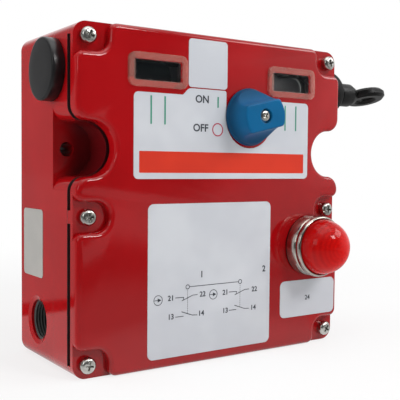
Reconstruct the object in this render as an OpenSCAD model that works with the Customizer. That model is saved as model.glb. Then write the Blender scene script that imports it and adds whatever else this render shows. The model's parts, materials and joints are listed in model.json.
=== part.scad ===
// Cable-operated safety switch: die-cast housing, pull shaft with eye, reset knob and pilot lamp.
// The switch stands upright: X runs to the right, Z up, and the front faces -Y.
// The origin is the centre of the flat back face. Everything is first drawn lying on that face,
// with x to the right, y up the housing and z out of its front, and upright() then stands it up.

/* [Housing] */
// Width of the housing
case_w = 160; // [156:0.5:176]
// Height of the housing
case_h = 162; // [161:0.5:180]
// Depth from the back face to the front of the cover
case_d = 70.5; // [69:0.5:84]
// Radius of the four long corners
corner_r = 6.5; // [5:0.25:7.5]
// Thickness of the casting's walls
wall = 4; // [3.25:0.25:4.75]
// Thickness of the base casting's floor
floor_t = 4.5; // [3.5:0.25:5.5]
// Radius of the base casting's back edge
back_edge_r = 3; // [1:0.25:4]

/* [Cover] */
// Depth of the cover, from its face to its rear edge
cover_depth = 7.1; // [6.6:0.1:8]
// Thickness of the cover's face
cover_t = 3; // [2.5:0.25:3.5]
// Radius of the cover's front edge
front_edge_r = 2.5; // [1:0.25:2.75]
// Gap that the gasket keeps between cover and base
seam_gap = 3.2; // [2.6:0.1:3.6]
// How far the screw pockets drop below the cover's face
pocket_drop = 4.6; // [4.2:0.1:5]
// Radius of the end of a screw pocket
pocket_r = 7; // [6:0.25:7]
// Radius at the mouth of a screw pocket
pocket_mouth_r = 4; // [3.5:0.25:4]

/* [Ears] */
// From the side of the housing to the middle of a mounting hole
mount_edge = 7; // [6.5:0.1:8]
// From the top of the housing down to the mounting holes
mount_down = 57; // [55:0.5:60]
// Diameter of the mounting holes
mount_hole_d = 7; // [5.5:0.25:8.5]
// Radius of the notch that makes room for a mounting screw
notch_r = 12.6; // [10:0.2:12.6]
// Depth of the notch's floor behind the cover's face
notch_depth = 26.7; // [22:0.1:32]

/* [Cover screws] */
// From the side of the housing to the middle of a cover screw
screw_edge = 6.7; // [6.3:0.1:7]
// From the top or bottom of the housing to the middle of a corner screw
screw_end = 6.6; // [6.2:0.1:7]
// From the mounting holes down to the two middle screws
screw_mid_drop = 31; // [31:0.25:34]
// Thread diameter of the cover screws
screw_d = 3.9; // [3:0.1:4]
// Head diameter of the cover screws
screw_head_d = 7.6; // [7:0.1:8]
// Head height of the cover screws
screw_head_h = 2.9; // [2.4:0.1:3.2]
// Thickness of the spring washers under the heads
washer_t = 1.1; // [0.8:0.1:1.3]
// Length of the cover screws under the head
screw_length = 14; // [12:0.5:16]

/* [Windows] */
// How far the windows and the label sit to the right of the housing's middle
panel_x = 2.3; // [0:0.1:3]
// Distance between the centres of the two windows
window_spacing = 82.4; // [80:0.2:84]
// Width of a window's frame
window_w = 32; // [30:0.5:33]
// Height of a window's frame
window_h = 15.8; // [14.5:0.1:16.5]
// How far a window's frame stands out of the cover
window_t = 1.6; // [1:0.1:2]
// Width of the frame round the clear pane
window_rim = 3.1; // [2.5:0.1:3.5]

/* [Pull unit] */
// Depth of the pull shaft behind the cover's face
pull_depth = 27; // [26.5:0.1:27.5]
// From the top of the housing down to the pull shaft
pull_down = 20; // [19.5:0.1:21]
// Diameter of the pull shaft
shaft_d = 8; // [7:0.1:8.2]
// Travel of the pull shaft, from slack to fully pulled
pull_travel = 22; // [19:0.5:23]
// Diameter of the eye's collar
collar_d = 13.8; // [13:0.1:14.5]
// Length of the eye's collar
collar_l = 14; // [12:0.5:16]
// Outer diameter of the eye
eye_d = 24.7; // [22:0.1:26]
// Hole through the eye
eye_hole_d = 10.8; // [9:0.1:12]
// Thickness of the eye
eye_t = 5.5; // [5:0.25:6.5]
// How far the eye is turned about the shaft
eye_tilt = -14; // [-30:1:30]
// Diameter of the rubber boot
boot_d = 27.6; // [27:0.2:29]
// Length of the boot out of the housing's side
boot_l = 23; // [21.5:0.5:26]
// Diameter of the cap on the closed cable entry
cap_d = 29.6; // [28:0.2:31]
// Height of that cap
cap_h = 6.4; // [5:0.2:8]

/* [Indicators] */
// Outer diameter of an indicator drum
drum_d = 16.6; // [16.4:0.1:16.8]
// Inner end of the right drum, from the housing's middle
drum_x = 24.6; // [24:0.2:26]
// Inner end of the left drum, to the left of the middle
left_drum_x = 20; // [19:0.2:22]
// Length of the left drum
left_drum_l = 28; // [24:0.5:32]
// Wire diameter of the return spring
spring_wire = 1.2; // [0.9:0.1:1.3]
// Turns of the return spring
spring_turns = 9; // [6:1:10]

/* [Switches] */
// Width of a contact block
block_w = 28; // [26:0.5:28]
// Height of a contact block
block_h = 30; // [26:0.5:32]
// Depth of a contact block
block_d = 24; // [23:0.25:24.5]
// Diameter of a block's plunger
plunger_d = 4.8; // [4:0.1:5]
// How far the plunger travels
plunger_travel = 2.6; // [2:0.1:3]

/* [Reset knob] */
// Knob axis, to the right of the middle
knob_x = 15; // [14:0.25:16]
// From the pull shaft down to the knob's axis
knob_down = 19.3; // [18.8:0.1:20.5]
// Diameter of the knob's skirt
knob_d = 29.3; // [28:0.1:30]
// Height of the knob over the cover
knob_h = 15; // [14:0.25:17]
// Width of the knob's grip
grip_w = 14; // [12:0.25:15]
// Turn of the grip at OFF, from level
off_angle = 13; // [8:1:18]
// Turn of the knob from OFF to ON
reset_angle = 32; // [24:1:36]

/* [Pilot lamp] */
// From the right side of the housing to the lamp's axis
lamp_edge = 22; // [21:0.25:24]
// From the middle screws down to the lamp's axis
lamp_down = 19.1; // [19:0.1:22]
// Diameter of the bezel where it meets the cover
bezel_d = 33.4; // [32:0.1:34]
// Height of the bezel
bezel_h = 10.9; // [9:0.1:12]
// Diameter of the lens
lens_d = 29.4; // [28:0.1:29.6]

/* [Conduit entry] */
// Diameter of the threaded conduit entry
conduit_d = 20; // [16:0.5:21]
// Depth of its axis behind the cover's face
conduit_depth = 46.5; // [42:0.5:47]
// From the bottom of the housing up to its axis
conduit_up = 20.5; // [20:0.5:26]

/* [Fits] */
// Radial clearance of a shaft that turns or slides
run_fit = 0.05; // [0.03:0.01:0.09]
// Radial clearance round a fixed pin or screw
loose_fit = 0.1; // [0.05:0.01:0.2]

/* [Hidden] */
$fn = 48;
eps = 0.01;

red_paint = [0.66, 0.09, 0.10];
black_plastic = [0.12, 0.12, 0.12];
bright_steel = [0.75, 0.76, 0.78];

// Levels up from the back face
cover_back = case_d - cover_depth;
base_front = cover_back - seam_gap;
pocket_floor = case_d - pocket_drop;
notch_floor = case_d - notch_depth;
pan_top = case_d - cover_t;
pull_z = case_d - pull_depth;
conduit_z = case_d - conduit_depth;

half_w = case_w / 2;
half_h = case_h / 2;
notch_x = half_w - mount_edge;
mouth_r = mount_edge;
mount_y = half_h - mount_down;
screw_x = half_w - screw_edge;
screw_top_y = half_h - screw_end;
screw_mid_y = mount_y - screw_mid_drop;
pocket_x = screw_x - 3;
pull_y = half_h - pull_down;
knob_y = pull_y - knob_down;
lamp_x = half_w - lamp_edge;
lamp_y = screw_mid_y - lamp_down;
conduit_y = conduit_up - half_h;

module upright() {
    rotate([90, 0, 0]) children();
}

// ---- Outlines ----
// An outline is a list of arcs [x, y, radius, first angle, last angle], run anticlockwise and
// joined by straight lines. An arc whose angle falls is hollow: its centre lies outside.

function mirrored(arcs) =
    [for (i = [len(arcs) - 1:-1:0]) let (a = arcs[i]) [-a[0], a[1], a[2], 180 - a[4], 180 - a[3]]];
function hollow(a) = a[4] < a[3];
function on_arc(a, angle, inset = 0) =
    let (r = hollow(a) ? a[2] + inset : max(a[2] - inset, 0))
    [a[0] + r * cos(angle), a[1] + r * sin(angle)];
// Corner points of an outline that lies a set distance inside the given one
function inset_points(arcs, inset) =
    [for (a = arcs) let (n = ceil(abs(a[4] - a[3]) / 12))
        for (i = [0:n]) on_arc(a, a[3] + (a[4] - a[3]) * i / n, inset)];

corner_arcs = [[half_w - corner_r, -half_h + corner_r, corner_r, -90, 0]];
corner_top_arcs = [[half_w - corner_r, half_h - corner_r, corner_r, 0, 90]];
notch_arcs = [
    [notch_x, mount_y - notch_r - mouth_r, mouth_r, 0, 90],
    [notch_x, mount_y, notch_r, -90, -270],
    [notch_x, mount_y + notch_r + mouth_r, mouth_r, -90, 0]
];
// The pocket of one cover screw: which walls it has depends on where the outline enters and leaves
function side_mouth(y, turn) =
    [half_w - pocket_mouth_r, y + turn * (pocket_r + pocket_mouth_r), pocket_mouth_r,
     turn < 0 ? 0 : -90, turn < 0 ? 90 : 0];
function end_mouth(turn) =
    [pocket_x - pocket_r - pocket_mouth_r, turn * (half_h - pocket_mouth_r), pocket_mouth_r,
     turn < 0 ? -90 : 0, turn < 0 ? 0 : 90];
pocket_arcs_low = [
    end_mouth(-1), [pocket_x, -screw_top_y, pocket_r, 180, 90], side_mouth(-screw_top_y, 1)
];
pocket_arcs_mid = [
    side_mouth(screw_mid_y, -1), [pocket_x, screw_mid_y, pocket_r, 270, 90], side_mouth(screw_mid_y, 1)
];
pocket_arcs_top = [
    side_mouth(screw_top_y, -1), [pocket_x, screw_top_y, pocket_r, 270, 180], end_mouth(1)
];

block_half = concat(corner_arcs, corner_top_arcs);
block_outline = concat(block_half, mirrored(block_half));
case_half = concat(corner_arcs, notch_arcs, corner_top_arcs);
case_outline = concat(case_half, mirrored(case_half));
face_half = concat(pocket_arcs_low, pocket_arcs_mid, notch_arcs, pocket_arcs_top);
face_outline = concat(face_half, mirrored(face_half));

// Section of an outline's rim: x runs inward from the edge and y up, with a rounded upper edge
module rim_section(height, width, edge_r) {
    difference() {
        square([width, height]);
        if (edge_r > 0)
            translate([0, height - edge_r]) difference() {
                translate([-eps, 0]) square([edge_r + eps, edge_r + eps]);
                translate([edge_r, 0]) circle(r = edge_r);
            }
    }
}

// A slab with the given outline: the rim is swept along every arc and line, so that each wall and
// each rounded edge is a true surface, and a plain core fills the middle
module slab(arcs, height, edge_r = 0, rim_w = pocket_mouth_r) {
    core_inset = rim_w - 0.7;
    for (i = [0:len(arcs) - 1]) {
        a = arcs[i];
        b = arcs[(i + 1) % len(arcs)];
        from = on_arc(a, a[4]);
        step = on_arc(b, b[3]) - from;
        translate([a[0], a[1], 0]) rotate([0, 0, min(a[3], a[4])])
            rotate_extrude(angle = abs(a[4] - a[3]), $fn = 96)
                translate([a[2], 0]) mirror([hollow(a) ? 0 : 1, 0])
                    rim_section(height, rim_w, edge_r);
        if (norm(step) > 0.05)
            translate([from[0], from[1], 0]) rotate([0, 0, atan2(step[1], step[0])])
                rotate([90, 0, 90]) linear_extrude(norm(step))
                    rim_section(height, rim_w, edge_r);
    }
    linear_extrude(height) polygon(inset_points(arcs, core_inset));
}

// ---- Placing ----

cover_screw_places = [
    for (side = [-1, 1]) for (y = [screw_top_y, screw_mid_y, -screw_top_y])
        [side * screw_x, y]
];

module at_cover_screws() {
    for (p = cover_screw_places) translate([p[0], p[1], 0]) children();
}

// Lays a shape drawn along z down along x, on the pull shaft's axis, starting at x
module on_pull_axis(x) {
    translate([x, pull_y, pull_z]) rotate([0, 90, 0]) children();
}

module tube(outer_r, inner_r, height) {
    difference() {
        cylinder(r = outer_r, h = height);
        translate([0, 0, -1]) cylinder(r = inner_r, h = height + 2);
    }
}

module hex_nut(across, bore_r, height) {
    difference() {
        cylinder(d = across / cos(30), h = height, $fn = 6);
        translate([0, 0, -1]) cylinder(r = bore_r, h = height + 2);
    }
}

// Rectangle with round corners, from circles and squares
module round_plate(w, h, r, t) {
    linear_extrude(t) {
        square([w - 2 * r, h], center = true);
        square([w, h - 2 * r], center = true);
        for (x = [-1, 1], y = [-1, 1])
            translate([x * (w / 2 - r), y * (h / 2 - r)]) circle(r = r);
    }
}

module slot_hole(length, r, height) {
    cube_l = length - 2 * r;
    translate([-cube_l / 2, -r, 0]) cube([cube_l, 2 * r, height]);
    for (side = [-1, 1]) translate([side * cube_l / 2, 0, 0]) cylinder(r = r, h = height);
}

// ---- Housing ----

screw_hole_r = screw_d / 2 + loose_fit;
screw_seat = pocket_floor;
screw_tip = screw_seat + washer_t - screw_length;
boss_r = 6.3;
boss_bottom = screw_tip - 1;
rim_land = 4;
entry_r = 8;
conduit_boss_r = conduit_d / 2 + 4;
conduit_boss_l = 9;
ground_r = 5;
ground_place = [-30, -half_h + wall + ground_r + 10];
ground_boss_h = 6;

// The base is a box with two ear blocks at its back and a notch in front of each mounting hole
module housing_base() color(red_paint) upright() {
    difference() {
        union() {
            difference() {
                union() {
                    translate([0, 0, notch_floor]) mirror([0, 0, 1])
                        slab(block_outline, notch_floor, back_edge_r, corner_r - 1);
                    translate([0, 0, notch_floor])
                        slab(case_outline, base_front - notch_floor, 0, corner_r - 1);
                }
                translate([0, 0, floor_t]) linear_extrude(base_front - floor_t - rim_land)
                    polygon(inset_points(case_outline, wall));
                translate([0, 0, base_front - rim_land - eps]) linear_extrude(rim_land + 1)
                    polygon(inset_points(face_outline, wall));
            }
            at_cover_screws() translate([0, 0, boss_bottom])
                cylinder(r = boss_r, h = base_front - rim_land - boss_bottom + 1);
            seam_pads();
            conduit_boss();
            translate([ground_place[0], ground_place[1], floor_t - 1])
                cylinder(r = ground_r, h = ground_boss_h + 1);
        }
        at_cover_screws() translate([0, 0, boss_bottom - 1])
            cylinder(r = screw_hole_r, h = case_d);
        for (side = [-1, 1]) translate([side * notch_x, mount_y, -1])
            cylinder(d = mount_hole_d, h = notch_floor + 2);
        on_pull_axis(-half_w - 1) cylinder(r = entry_r + loose_fit, h = wall + 2);
        on_pull_axis(half_w - wall - 1) cylinder(r = entry_r + loose_fit, h = wall + 2);
        translate([-half_w - 1, conduit_y, conduit_z]) rotate([0, 90, 0])
            cylinder(d = conduit_d, h = wall + conduit_boss_l + 2);
        translate([-half_w - eps, conduit_y, conduit_z]) rotate([0, 90, 0])
            cylinder(r1 = conduit_d / 2 + 2.1, r2 = conduit_d / 2, h = 0.9);
        translate([ground_place[0], ground_place[1], floor_t])
            cylinder(r = 1.7, h = ground_boss_h + 2);
    }
}

// The cover rests on these pads when its screws are tight, which is why the seam closes there
module seam_pads() {
    pad_x = screw_x - boss_r - 0.5;
    pad_h = seam_gap + 1;
    translate([0, 0, cover_back - pad_h]) {
        intersection() {
            linear_extrude(pad_h) for (side = [-1, 1]) {
                for (end = [-1, 1])
                    translate([side * (half_w + pad_x) / 2, end * (screw_top_y + 0.8 + half_h) / 2])
                        square([half_w - pad_x, half_h - screw_top_y - 0.8], center = true);
                translate([side * (half_w + pad_x) / 2, screw_mid_y])
                    square([half_w - pad_x, 6], center = true);
            }
            slab(block_outline, pad_h, 0, corner_r - 1);
        }
        at_cover_screws() cylinder(r = 4.4, h = pad_h);
    }
}

module conduit_boss() {
    translate([-half_w + wall - 1, conduit_y, conduit_z]) rotate([0, 90, 0])
        cylinder(r = conduit_boss_r, h = conduit_boss_l + 1);
}

pan_inset = wall + 1.5;
lamp_body_r = 11;
lamp_hole_r = lamp_body_r + loose_fit;
lamp_pan_r = 14.5;
thread_r = 6;
knob_hole_r = thread_r + loose_fit;
pane_w = window_w - 2 * window_rim;
pane_h = window_h - 2 * window_rim;

// The cover is a shallow pan: a flange all round, and a raised face that steps round the screws
module cover() color(red_paint) upright() {
    difference() {
        union() {
            translate([0, 0, cover_back])
                slab(case_outline, pocket_floor - cover_back, 0, corner_r - 1);
            translate([0, 0, pocket_floor])
                slab(face_outline, case_d - pocket_floor, front_edge_r);
        }
        translate([0, 0, cover_back - 1]) {
            linear_extrude(pan_top - cover_back + 1) polygon(inset_points(face_outline, pan_inset));
            translate([lamp_x, lamp_y, 0]) cylinder(r = lamp_pan_r, h = pan_top - cover_back + 1);
            translate([lamp_x, lamp_y, 0]) cylinder(r = lamp_hole_r, h = case_d);
            translate([knob_x, knob_y, 0]) cylinder(r = knob_hole_r, h = case_d);
            at_cover_screws() cylinder(r = screw_hole_r + loose_fit, h = case_d);
            at_windows() round_plate(pane_w, pane_h, 1.5, case_d);
        }
    }
}

module at_windows(sides = [-1, 1]) {
    for (side = sides)
        translate([panel_x + side * window_spacing / 2, pull_y, 0]) children();
}

gasket_edge = 1.4;
gasket_w = 1.8;
module cover_gasket() color(black_plastic) upright() {
    translate([0, 0, base_front]) linear_extrude(seam_gap) difference() {
        polygon(inset_points(face_outline, gasket_edge));
        polygon(inset_points(face_outline, gasket_edge + gasket_w));
    }
}

// Pan-head screw with a cross recess, seated at z = 0 and pointing down
module pan_screw(d, head_d, head_h, length, recess = true) {
    difference() {
        union() {
            cylinder(d = head_d, h = head_h * 0.55);
            translate([0, 0, head_h * 0.55])
                cylinder(d1 = head_d, d2 = head_d * 0.72, h = head_h * 0.45);
            translate([0, 0, -length]) cylinder(d = d, h = length + eps);
        }
        if (recess) for (turn = [0, 90])
            rotate([0, 0, turn + 45]) translate([-head_d * 0.27, -head_d * 0.06, head_h * 0.4])
                cube([head_d * 0.54, head_d * 0.12, head_h]);
    }
}

module cover_screws() color(bright_steel) upright() {
    at_cover_screws() translate([0, 0, screw_seat + washer_t])
        pan_screw(screw_d, screw_head_d, screw_head_h, screw_length);
}

module screw_washers() color(bright_steel) upright() {
    at_cover_screws() translate([0, 0, screw_seat])
        tube(screw_head_d / 2 - 0.2, screw_hole_r + 0.1, washer_t);
}

// A window is one clear moulding: a frame on the cover's face and a pane down in its opening
module window(side) {
    at_windows([side]) difference() {
        union() {
            translate([0, 0, case_d]) round_plate(window_w, window_h, 3.5, window_t);
            translate([0, 0, pan_top]) round_plate(pane_w - 2 * loose_fit, pane_h - 2 * loose_fit, 1.4, cover_t);
        }
        translate([0, 0, case_d + window_t - 0.7]) round_plate(pane_w, pane_h, 1.5, 1);
    }
}
module left_window() color([0.9, 0.75, 0.75, 0.4]) upright() window(-1);
module right_window() color([0.9, 0.75, 0.75, 0.4]) upright() window(1);

// ---- Closed cable entry on the left ----

cap_nut_t = 4;
cap_nut_w = 19;
cam_w = 6;
cam_depth = 11;
left_cam_x = -left_drum_x + 0.5;
stem_end = left_cam_x + cam_w + 1;

module cable_cap() color(black_plastic) upright() {
    on_pull_axis(-half_w - cap_h) difference() {
        union() {
            cylinder(d1 = cap_d - 1.2, d2 = cap_d, h = 0.6);
            translate([0, 0, 0.6]) cylinder(d = cap_d, h = cap_h - 0.6);
            translate([0, 0, cap_h - eps]) cylinder(r = entry_r, h = wall + cap_nut_t + eps);
        }
        translate([0, 0, cap_h - 2]) cylinder(d = shaft_d + 2 * loose_fit, h = wall + cap_nut_t + 3);
    }
}

module cap_nut() color(bright_steel) upright() {
    on_pull_axis(-half_w + wall) hex_nut(cap_nut_w, entry_r + loose_fit, cap_nut_t);
}

module left_stem() color(bright_steel) upright() {
    on_pull_axis(-half_w - 2) cylinder(d = shaft_d, h = stem_end + half_w + 2);
}

// Holds the left block's plunger down, because no cable works this side
module left_cam() color([0.5, 0.5, 0.52]) upright() {
    difference() {
        translate([left_cam_x, cam_face_y(1), pull_z - cam_depth / 2])
            cube([cam_w, pull_y + cam_over - cam_face_y(1), cam_depth]);
        on_pull_axis(-half_w) cylinder(r = shaft_d / 2 + 0.02, h = half_w);
    }
}

// Cup-shaped drum with its closed end at z = 0
module drum(length) {
    difference() {
        cylinder(d = drum_d, h = length);
        translate([0, 0, drum_end_t]) cylinder(r = drum_d / 2 - drum_wall, h = length);
        translate([0, 0, -1]) cylinder(r = shaft_d / 2 + 0.02, h = length);
    }
}

module left_indicator() color([0.25, 0.25, 0.27]) upright() {
    on_pull_axis(-left_drum_x) mirror([0, 0, 1]) drum(left_drum_l);
}

// ---- Pull unit on the right ----

drum_wall = 1.1;
nose_r = drum_d / 2 - drum_wall - 0.4;
nose_l = 7;
nose_x = half_w - wall - nose_l;
flange_r = 11;
flange_t = 2.5;
clip_t = 1.1;
boot_wall = 2;
boot_r = boot_d / 2;
boot_tip_r = collar_d / 2;
boot_neck_r = shaft_d / 2 + 0.3;
boot_x = half_w;
eye_x = half_w + boot_l + 0.4;
ring_x = eye_x + collar_l + eye_d / 2 - 1.4;
shaft_start = drum_x - pull_travel - 6.6;
drum_end_t = 2.4;
drum_open_x = half_w - wall - clip_t - 0.5 - pull_travel;
sleeve_wall = 0.9;
sleeve_in = nose_r - sleeve_wall;
spigot_l = 2.5;
spring_seat = nose_x - spigot_l;

module shaft_bushing() color(bright_steel) upright() {
    difference() {
        union() {
            on_pull_axis(nose_x) cylinder(r = nose_r, h = half_w - nose_x);
            on_pull_axis(spring_seat) cylinder(r = sleeve_in - 0.02, h = spigot_l + eps);
            on_pull_axis(half_w - wall) cylinder(r = entry_r, h = wall + eps);
            on_pull_axis(half_w) cylinder(r = flange_r, h = flange_t);
        }
        on_pull_axis(spring_seat - 1) cylinder(r = shaft_d / 2 + run_fit, h = half_w - spring_seat + flange_t + 2);
    }
}

module bushing_clip() color(bright_steel) upright() {
    on_pull_axis(half_w - wall - clip_t) tube(9.6, nose_r + 0.02, clip_t);
}

// Rubber dome over the bushing
module boot() color(black_plastic) upright() {
    side_l = boot_l - sqrt(boot_r * boot_r - boot_tip_r * boot_tip_r);
    on_pull_axis(boot_x) difference() {
        union() {
            cylinder(r = boot_r, h = side_l);
            translate([0, 0, side_l]) intersection() {
                sphere(r = boot_r, $fn = 96);
                cylinder(r = boot_r + 1, h = boot_l - side_l);
            }
        }
        translate([0, 0, -1]) cylinder(r = boot_r - boot_wall, h = side_l + 1);
        translate([0, 0, side_l - eps])
            cylinder(r1 = boot_r - boot_wall, r2 = boot_neck_r, h = boot_l - side_l - 2 * boot_wall);
        cylinder(r = boot_neck_r, h = boot_l + 1);
    }
}

module pull_shaft() color(bright_steel) upright() {
    difference() {
        on_pull_axis(shaft_start) cylinder(d = shaft_d, h = eye_x + collar_l - 3 - shaft_start);
        translate([cam_pin_x, 0, pull_z]) rotate([-90, 0, 0]) cylinder(r = cam_pin_r + 0.02, h = half_h);
    }
}

// Eye nut: a chamfered collar and a flat ring with a straight land in its hole
module pull_eye() color(black_plastic) upright() {
    chamfer = 1.9;
    bevel = 1.6;
    ring_out = eye_d / 2;
    ring_in = eye_hole_d / 2;
    neck = eye_t / 2 + 0.4;
    difference() {
        union() {
            on_pull_axis(eye_x) rotate_extrude() polygon([
                [0, 0], [collar_d / 2 - 0.8, 0], [collar_d / 2, 0.8],
                [collar_d / 2, collar_l * 0.69], [collar_d / 2 - chamfer, collar_l],
                [neck, collar_l + 1.6], [0, collar_l + 1.6]
            ]);
            at_ring() rotate_extrude() polygon([
                [0, 0], [ring_out - bevel, 0], [ring_out, bevel],
                [ring_out, eye_t - bevel], [ring_out - bevel, eye_t], [0, eye_t]
            ]);
        }
        on_pull_axis(eye_x - 1) cylinder(r = shaft_d / 2 + 0.02, h = collar_l - 2);
        at_ring() rotate_extrude() polygon([
            [0, -1], [ring_in + bevel + 1, -1], [ring_in, bevel],
            [ring_in, eye_t - bevel], [ring_in + bevel + 1, eye_t + 1], [0, eye_t + 1]
        ]);
    }
}

// The ring's back face, turned a little about the shaft
module at_ring() {
    translate([ring_x, pull_y, pull_z]) rotate([eye_tilt, 0, 0]) rotate([90, 0, 0])
        translate([0, 0, -eye_t / 2]) children();
}

// The cam's sloping underside pushes the plunger down as the shaft is pulled out
cam_slope = plunger_travel / pull_travel;
cam_end = drum_x - 2.6;
cam_start = cam_end - pull_travel - 2;
plunger_x = cam_end - 1.5;
plunger_tip_y = pull_y - 10.8;
cam_gap = 0.3;
cam_over = 6;
cam_pin_r = 1.25;
cam_pin_x = cam_start + 12;
// Height of the cam's underside over the plunger after a share of the travel
function cam_face_y(share) =
    plunger_tip_y - plunger_d / 2 - share * plunger_travel
    + (plunger_d / 2 + cam_gap) * sqrt(1 + cam_slope * cam_slope);
function cam_underside(x) = cam_face_y(0) + cam_slope * (x - plunger_x);

module cam_block() color([0.5, 0.5, 0.52]) upright() {
    difference() {
        translate([0, 0, pull_z - cam_depth / 2]) linear_extrude(cam_depth) polygon([
            [cam_start, cam_underside(cam_start)], [cam_end, cam_underside(cam_end)],
            [cam_end, pull_y + cam_over], [cam_start, pull_y + cam_over]
        ]);
        on_pull_axis(cam_start - 1) cylinder(r = shaft_d / 2 + 0.02, h = cam_end - cam_start + 2);
        translate([cam_pin_x, 0, pull_z]) rotate([-90, 0, 0]) cylinder(r = cam_pin_r + 0.02, h = half_h);
    }
}

module cam_pin() color(bright_steel) upright() {
    translate([cam_pin_x, pull_y - cam_over - 2.4, pull_z]) rotate([-90, 0, 0])
        cylinder(r = cam_pin_r, h = 2 * cam_over + 2.4);
}

module right_indicator() color([0.25, 0.25, 0.27]) upright() {
    on_pull_axis(drum_x) drum(drum_open_x - drum_x);
}

module drum_clip() color(bright_steel) upright() {
    on_pull_axis(drum_x - clip_t - 0.3) tube(6.6, shaft_d / 2 + 0.02, clip_t);
}

// Moulded sleeve on the bushing's spigot: it guides the spring and fills the window past the drum
module spring_sleeve() color([0.16, 0.15, 0.16]) upright() {
    on_pull_axis(drum_open_x - 3) tube(nose_r, sleeve_in, nose_x - drum_open_x + 3);
}

// Return spring inside the drum and the sleeve, a swept helix
module pull_spring() color(bright_steel) upright() {
    mean_r = sleeve_in - 0.25 - spring_wire / 2;
    first = drum_x + drum_end_t + spring_wire / 2 + 0.1;
    last = spring_seat - spring_wire / 2 - 0.1;
    per_turn = 14;
    sides = 6;
    count = spring_turns * per_turn;
    rings = [for (i = [0:count]) let (
        a = 360 * i / per_turn,
        x = first + (last - first) * i / count
    ) [for (k = [0:sides - 1]) let (
        b = 360 * k / sides,
        r = mean_r + spring_wire / 2 * cos(b)
    ) [x + spring_wire / 2 * sin(b), pull_y + r * cos(a), pull_z + r * sin(a)]]];
    polyhedron(
        points = [for (ring = rings) each ring],
        faces = concat(
            [[for (k = [0:sides - 1]) k]],
            [for (i = [0:count - 1], k = [0:sides - 1])
                [i * sides + k, (i + 1) * sides + k, (i + 1) * sides + (k + 1) % sides, i * sides + (k + 1) % sides]],
            [[for (k = [sides - 1:-1:0]) count * sides + k]]
        )
    );
}

// ---- Chassis and contact blocks ----

chassis_t = 2;
block_z = pull_z - 17.5;
chassis_z = block_z - chassis_t;
block_top = plunger_tip_y - 8.2;
block_bottom = block_top - block_h;
left_plunger_x = left_cam_x + cam_w / 2;
// A block's middle lies this far outward of its plunger
block_shift = 1.5;
block_middles = [left_plunger_x - block_shift, plunger_x + block_shift];
chassis_half_w = 46;
chassis_low = block_bottom - 18;
chassis_high = block_top + 6;
post_inset = 5;
post_r = 3.5;
post_hole_l = 9;
post_places = [
    for (x = [-1, 1], y = [chassis_low + post_inset, chassis_high - post_inset])
        [x * (chassis_half_w - post_inset), y]
];

module chassis_plate() color([0.7, 0.71, 0.72]) upright() {
    translate([0, 0, chassis_z]) difference() {
        translate([-chassis_half_w, chassis_low, 0])
            cube([2 * chassis_half_w, chassis_high - chassis_low, chassis_t]);
        for (p = post_places) translate([p[0], p[1], -1]) cylinder(r = 1.7, h = chassis_t + 2);
        for (p = latch_post_places) translate([p[0], p[1], -1]) cylinder(r = latch_foot_r + 0.05, h = chassis_t + 2);
        for (p = block_screw_places) translate([p[0], p[1], -1]) cylinder(r = 1.5, h = chassis_t + 2);
    }
}

module chassis_posts() color(bright_steel) upright() {
    for (p = post_places) translate([p[0], p[1], floor_t]) difference() {
        cylinder(r = post_r, h = chassis_z - floor_t, $fn = 6);
        translate([0, 0, chassis_z - floor_t - post_hole_l]) cylinder(r = 1.6, h = post_hole_l + 1);
    }
}

module chassis_screws() color(bright_steel) upright() {
    for (p = post_places) translate([p[0], p[1], block_z]) pan_screw(3, 5.6, 2, post_hole_l);
}

block_screw_places = [for (x = block_middles, end = [-1, 1]) [x + end * 10, block_top - 5]];
terminal_rows = [block_bottom + 5, block_bottom + 13];
terminal_places = [for (x = block_middles, end = [-1, 1], y = terminal_rows) [x + end * 8, y]];
plunger_hole_l = 12;
well_w = 7.2;
well_depth = 5;

// Moulded contact block, with wells for its terminals and a bore for its plunger
module contact_block(middle, pin_x) {
    difference() {
        translate([middle - block_w / 2, block_bottom, block_z]) cube([block_w, block_h, block_d]);
        for (end = [-1, 1]) translate([middle + end * 8, block_bottom, block_z + block_d - well_depth]) {
            translate([-well_w / 2, -1, 0]) cube([well_w, terminal_rows[1] - block_bottom + 5, well_depth + 1]);
            for (y = terminal_rows) translate([0, y - block_bottom, -8]) cylinder(r = 1.6, h = 12);
        }
        for (end = [-1, 1]) translate([middle + end * 10, block_top - 5, block_z - 1])
            cylinder(r = 1.6, h = block_d + 2);
        // Slots that show the blades of the contacts
        for (end = [-1, 1]) translate([middle + end * 4 - 0.75, block_bottom - 1, block_z + 4])
            cube([1.5, 7, block_d - 14]);
        translate([pin_x, block_top - plunger_hole_l, pull_z]) rotate([-90, 0, 0])
            cylinder(r = plunger_d / 2 + run_fit, h = plunger_hole_l + 1);
    }
}

module left_switch() color(black_plastic) upright() contact_block(block_middles[0], left_plunger_x);
module right_switch() color(black_plastic) upright() contact_block(block_middles[1], plunger_x);

module plunger(x, tip_y) {
    low = block_top - plunger_hole_l + plunger_travel + 0.5;
    translate([x, low, pull_z]) rotate([-90, 0, 0]) {
        cylinder(d = plunger_d, h = tip_y - plunger_d / 2 - low);
        translate([0, 0, tip_y - plunger_d / 2 - low]) sphere(d = plunger_d);
    }
}
module left_plunger() color([0.85, 0.83, 0.78]) upright() plunger(left_plunger_x, plunger_tip_y - plunger_travel);
module right_plunger() color([0.85, 0.83, 0.78]) upright() plunger(plunger_x, plunger_tip_y);

module switch_screws() color(bright_steel) upright() {
    for (p = block_screw_places) translate([p[0], p[1], block_z + block_d]) pan_screw(2.8, 5, 1.4, block_d + 1);
}

module terminal_screws() color([0.8, 0.68, 0.35]) upright() {
    for (p = terminal_places) translate([p[0], p[1], block_z + block_d - 5])
        pan_screw(3, 6, 2.4, 7);
}

// ---- Reset knob and latch ----

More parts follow.
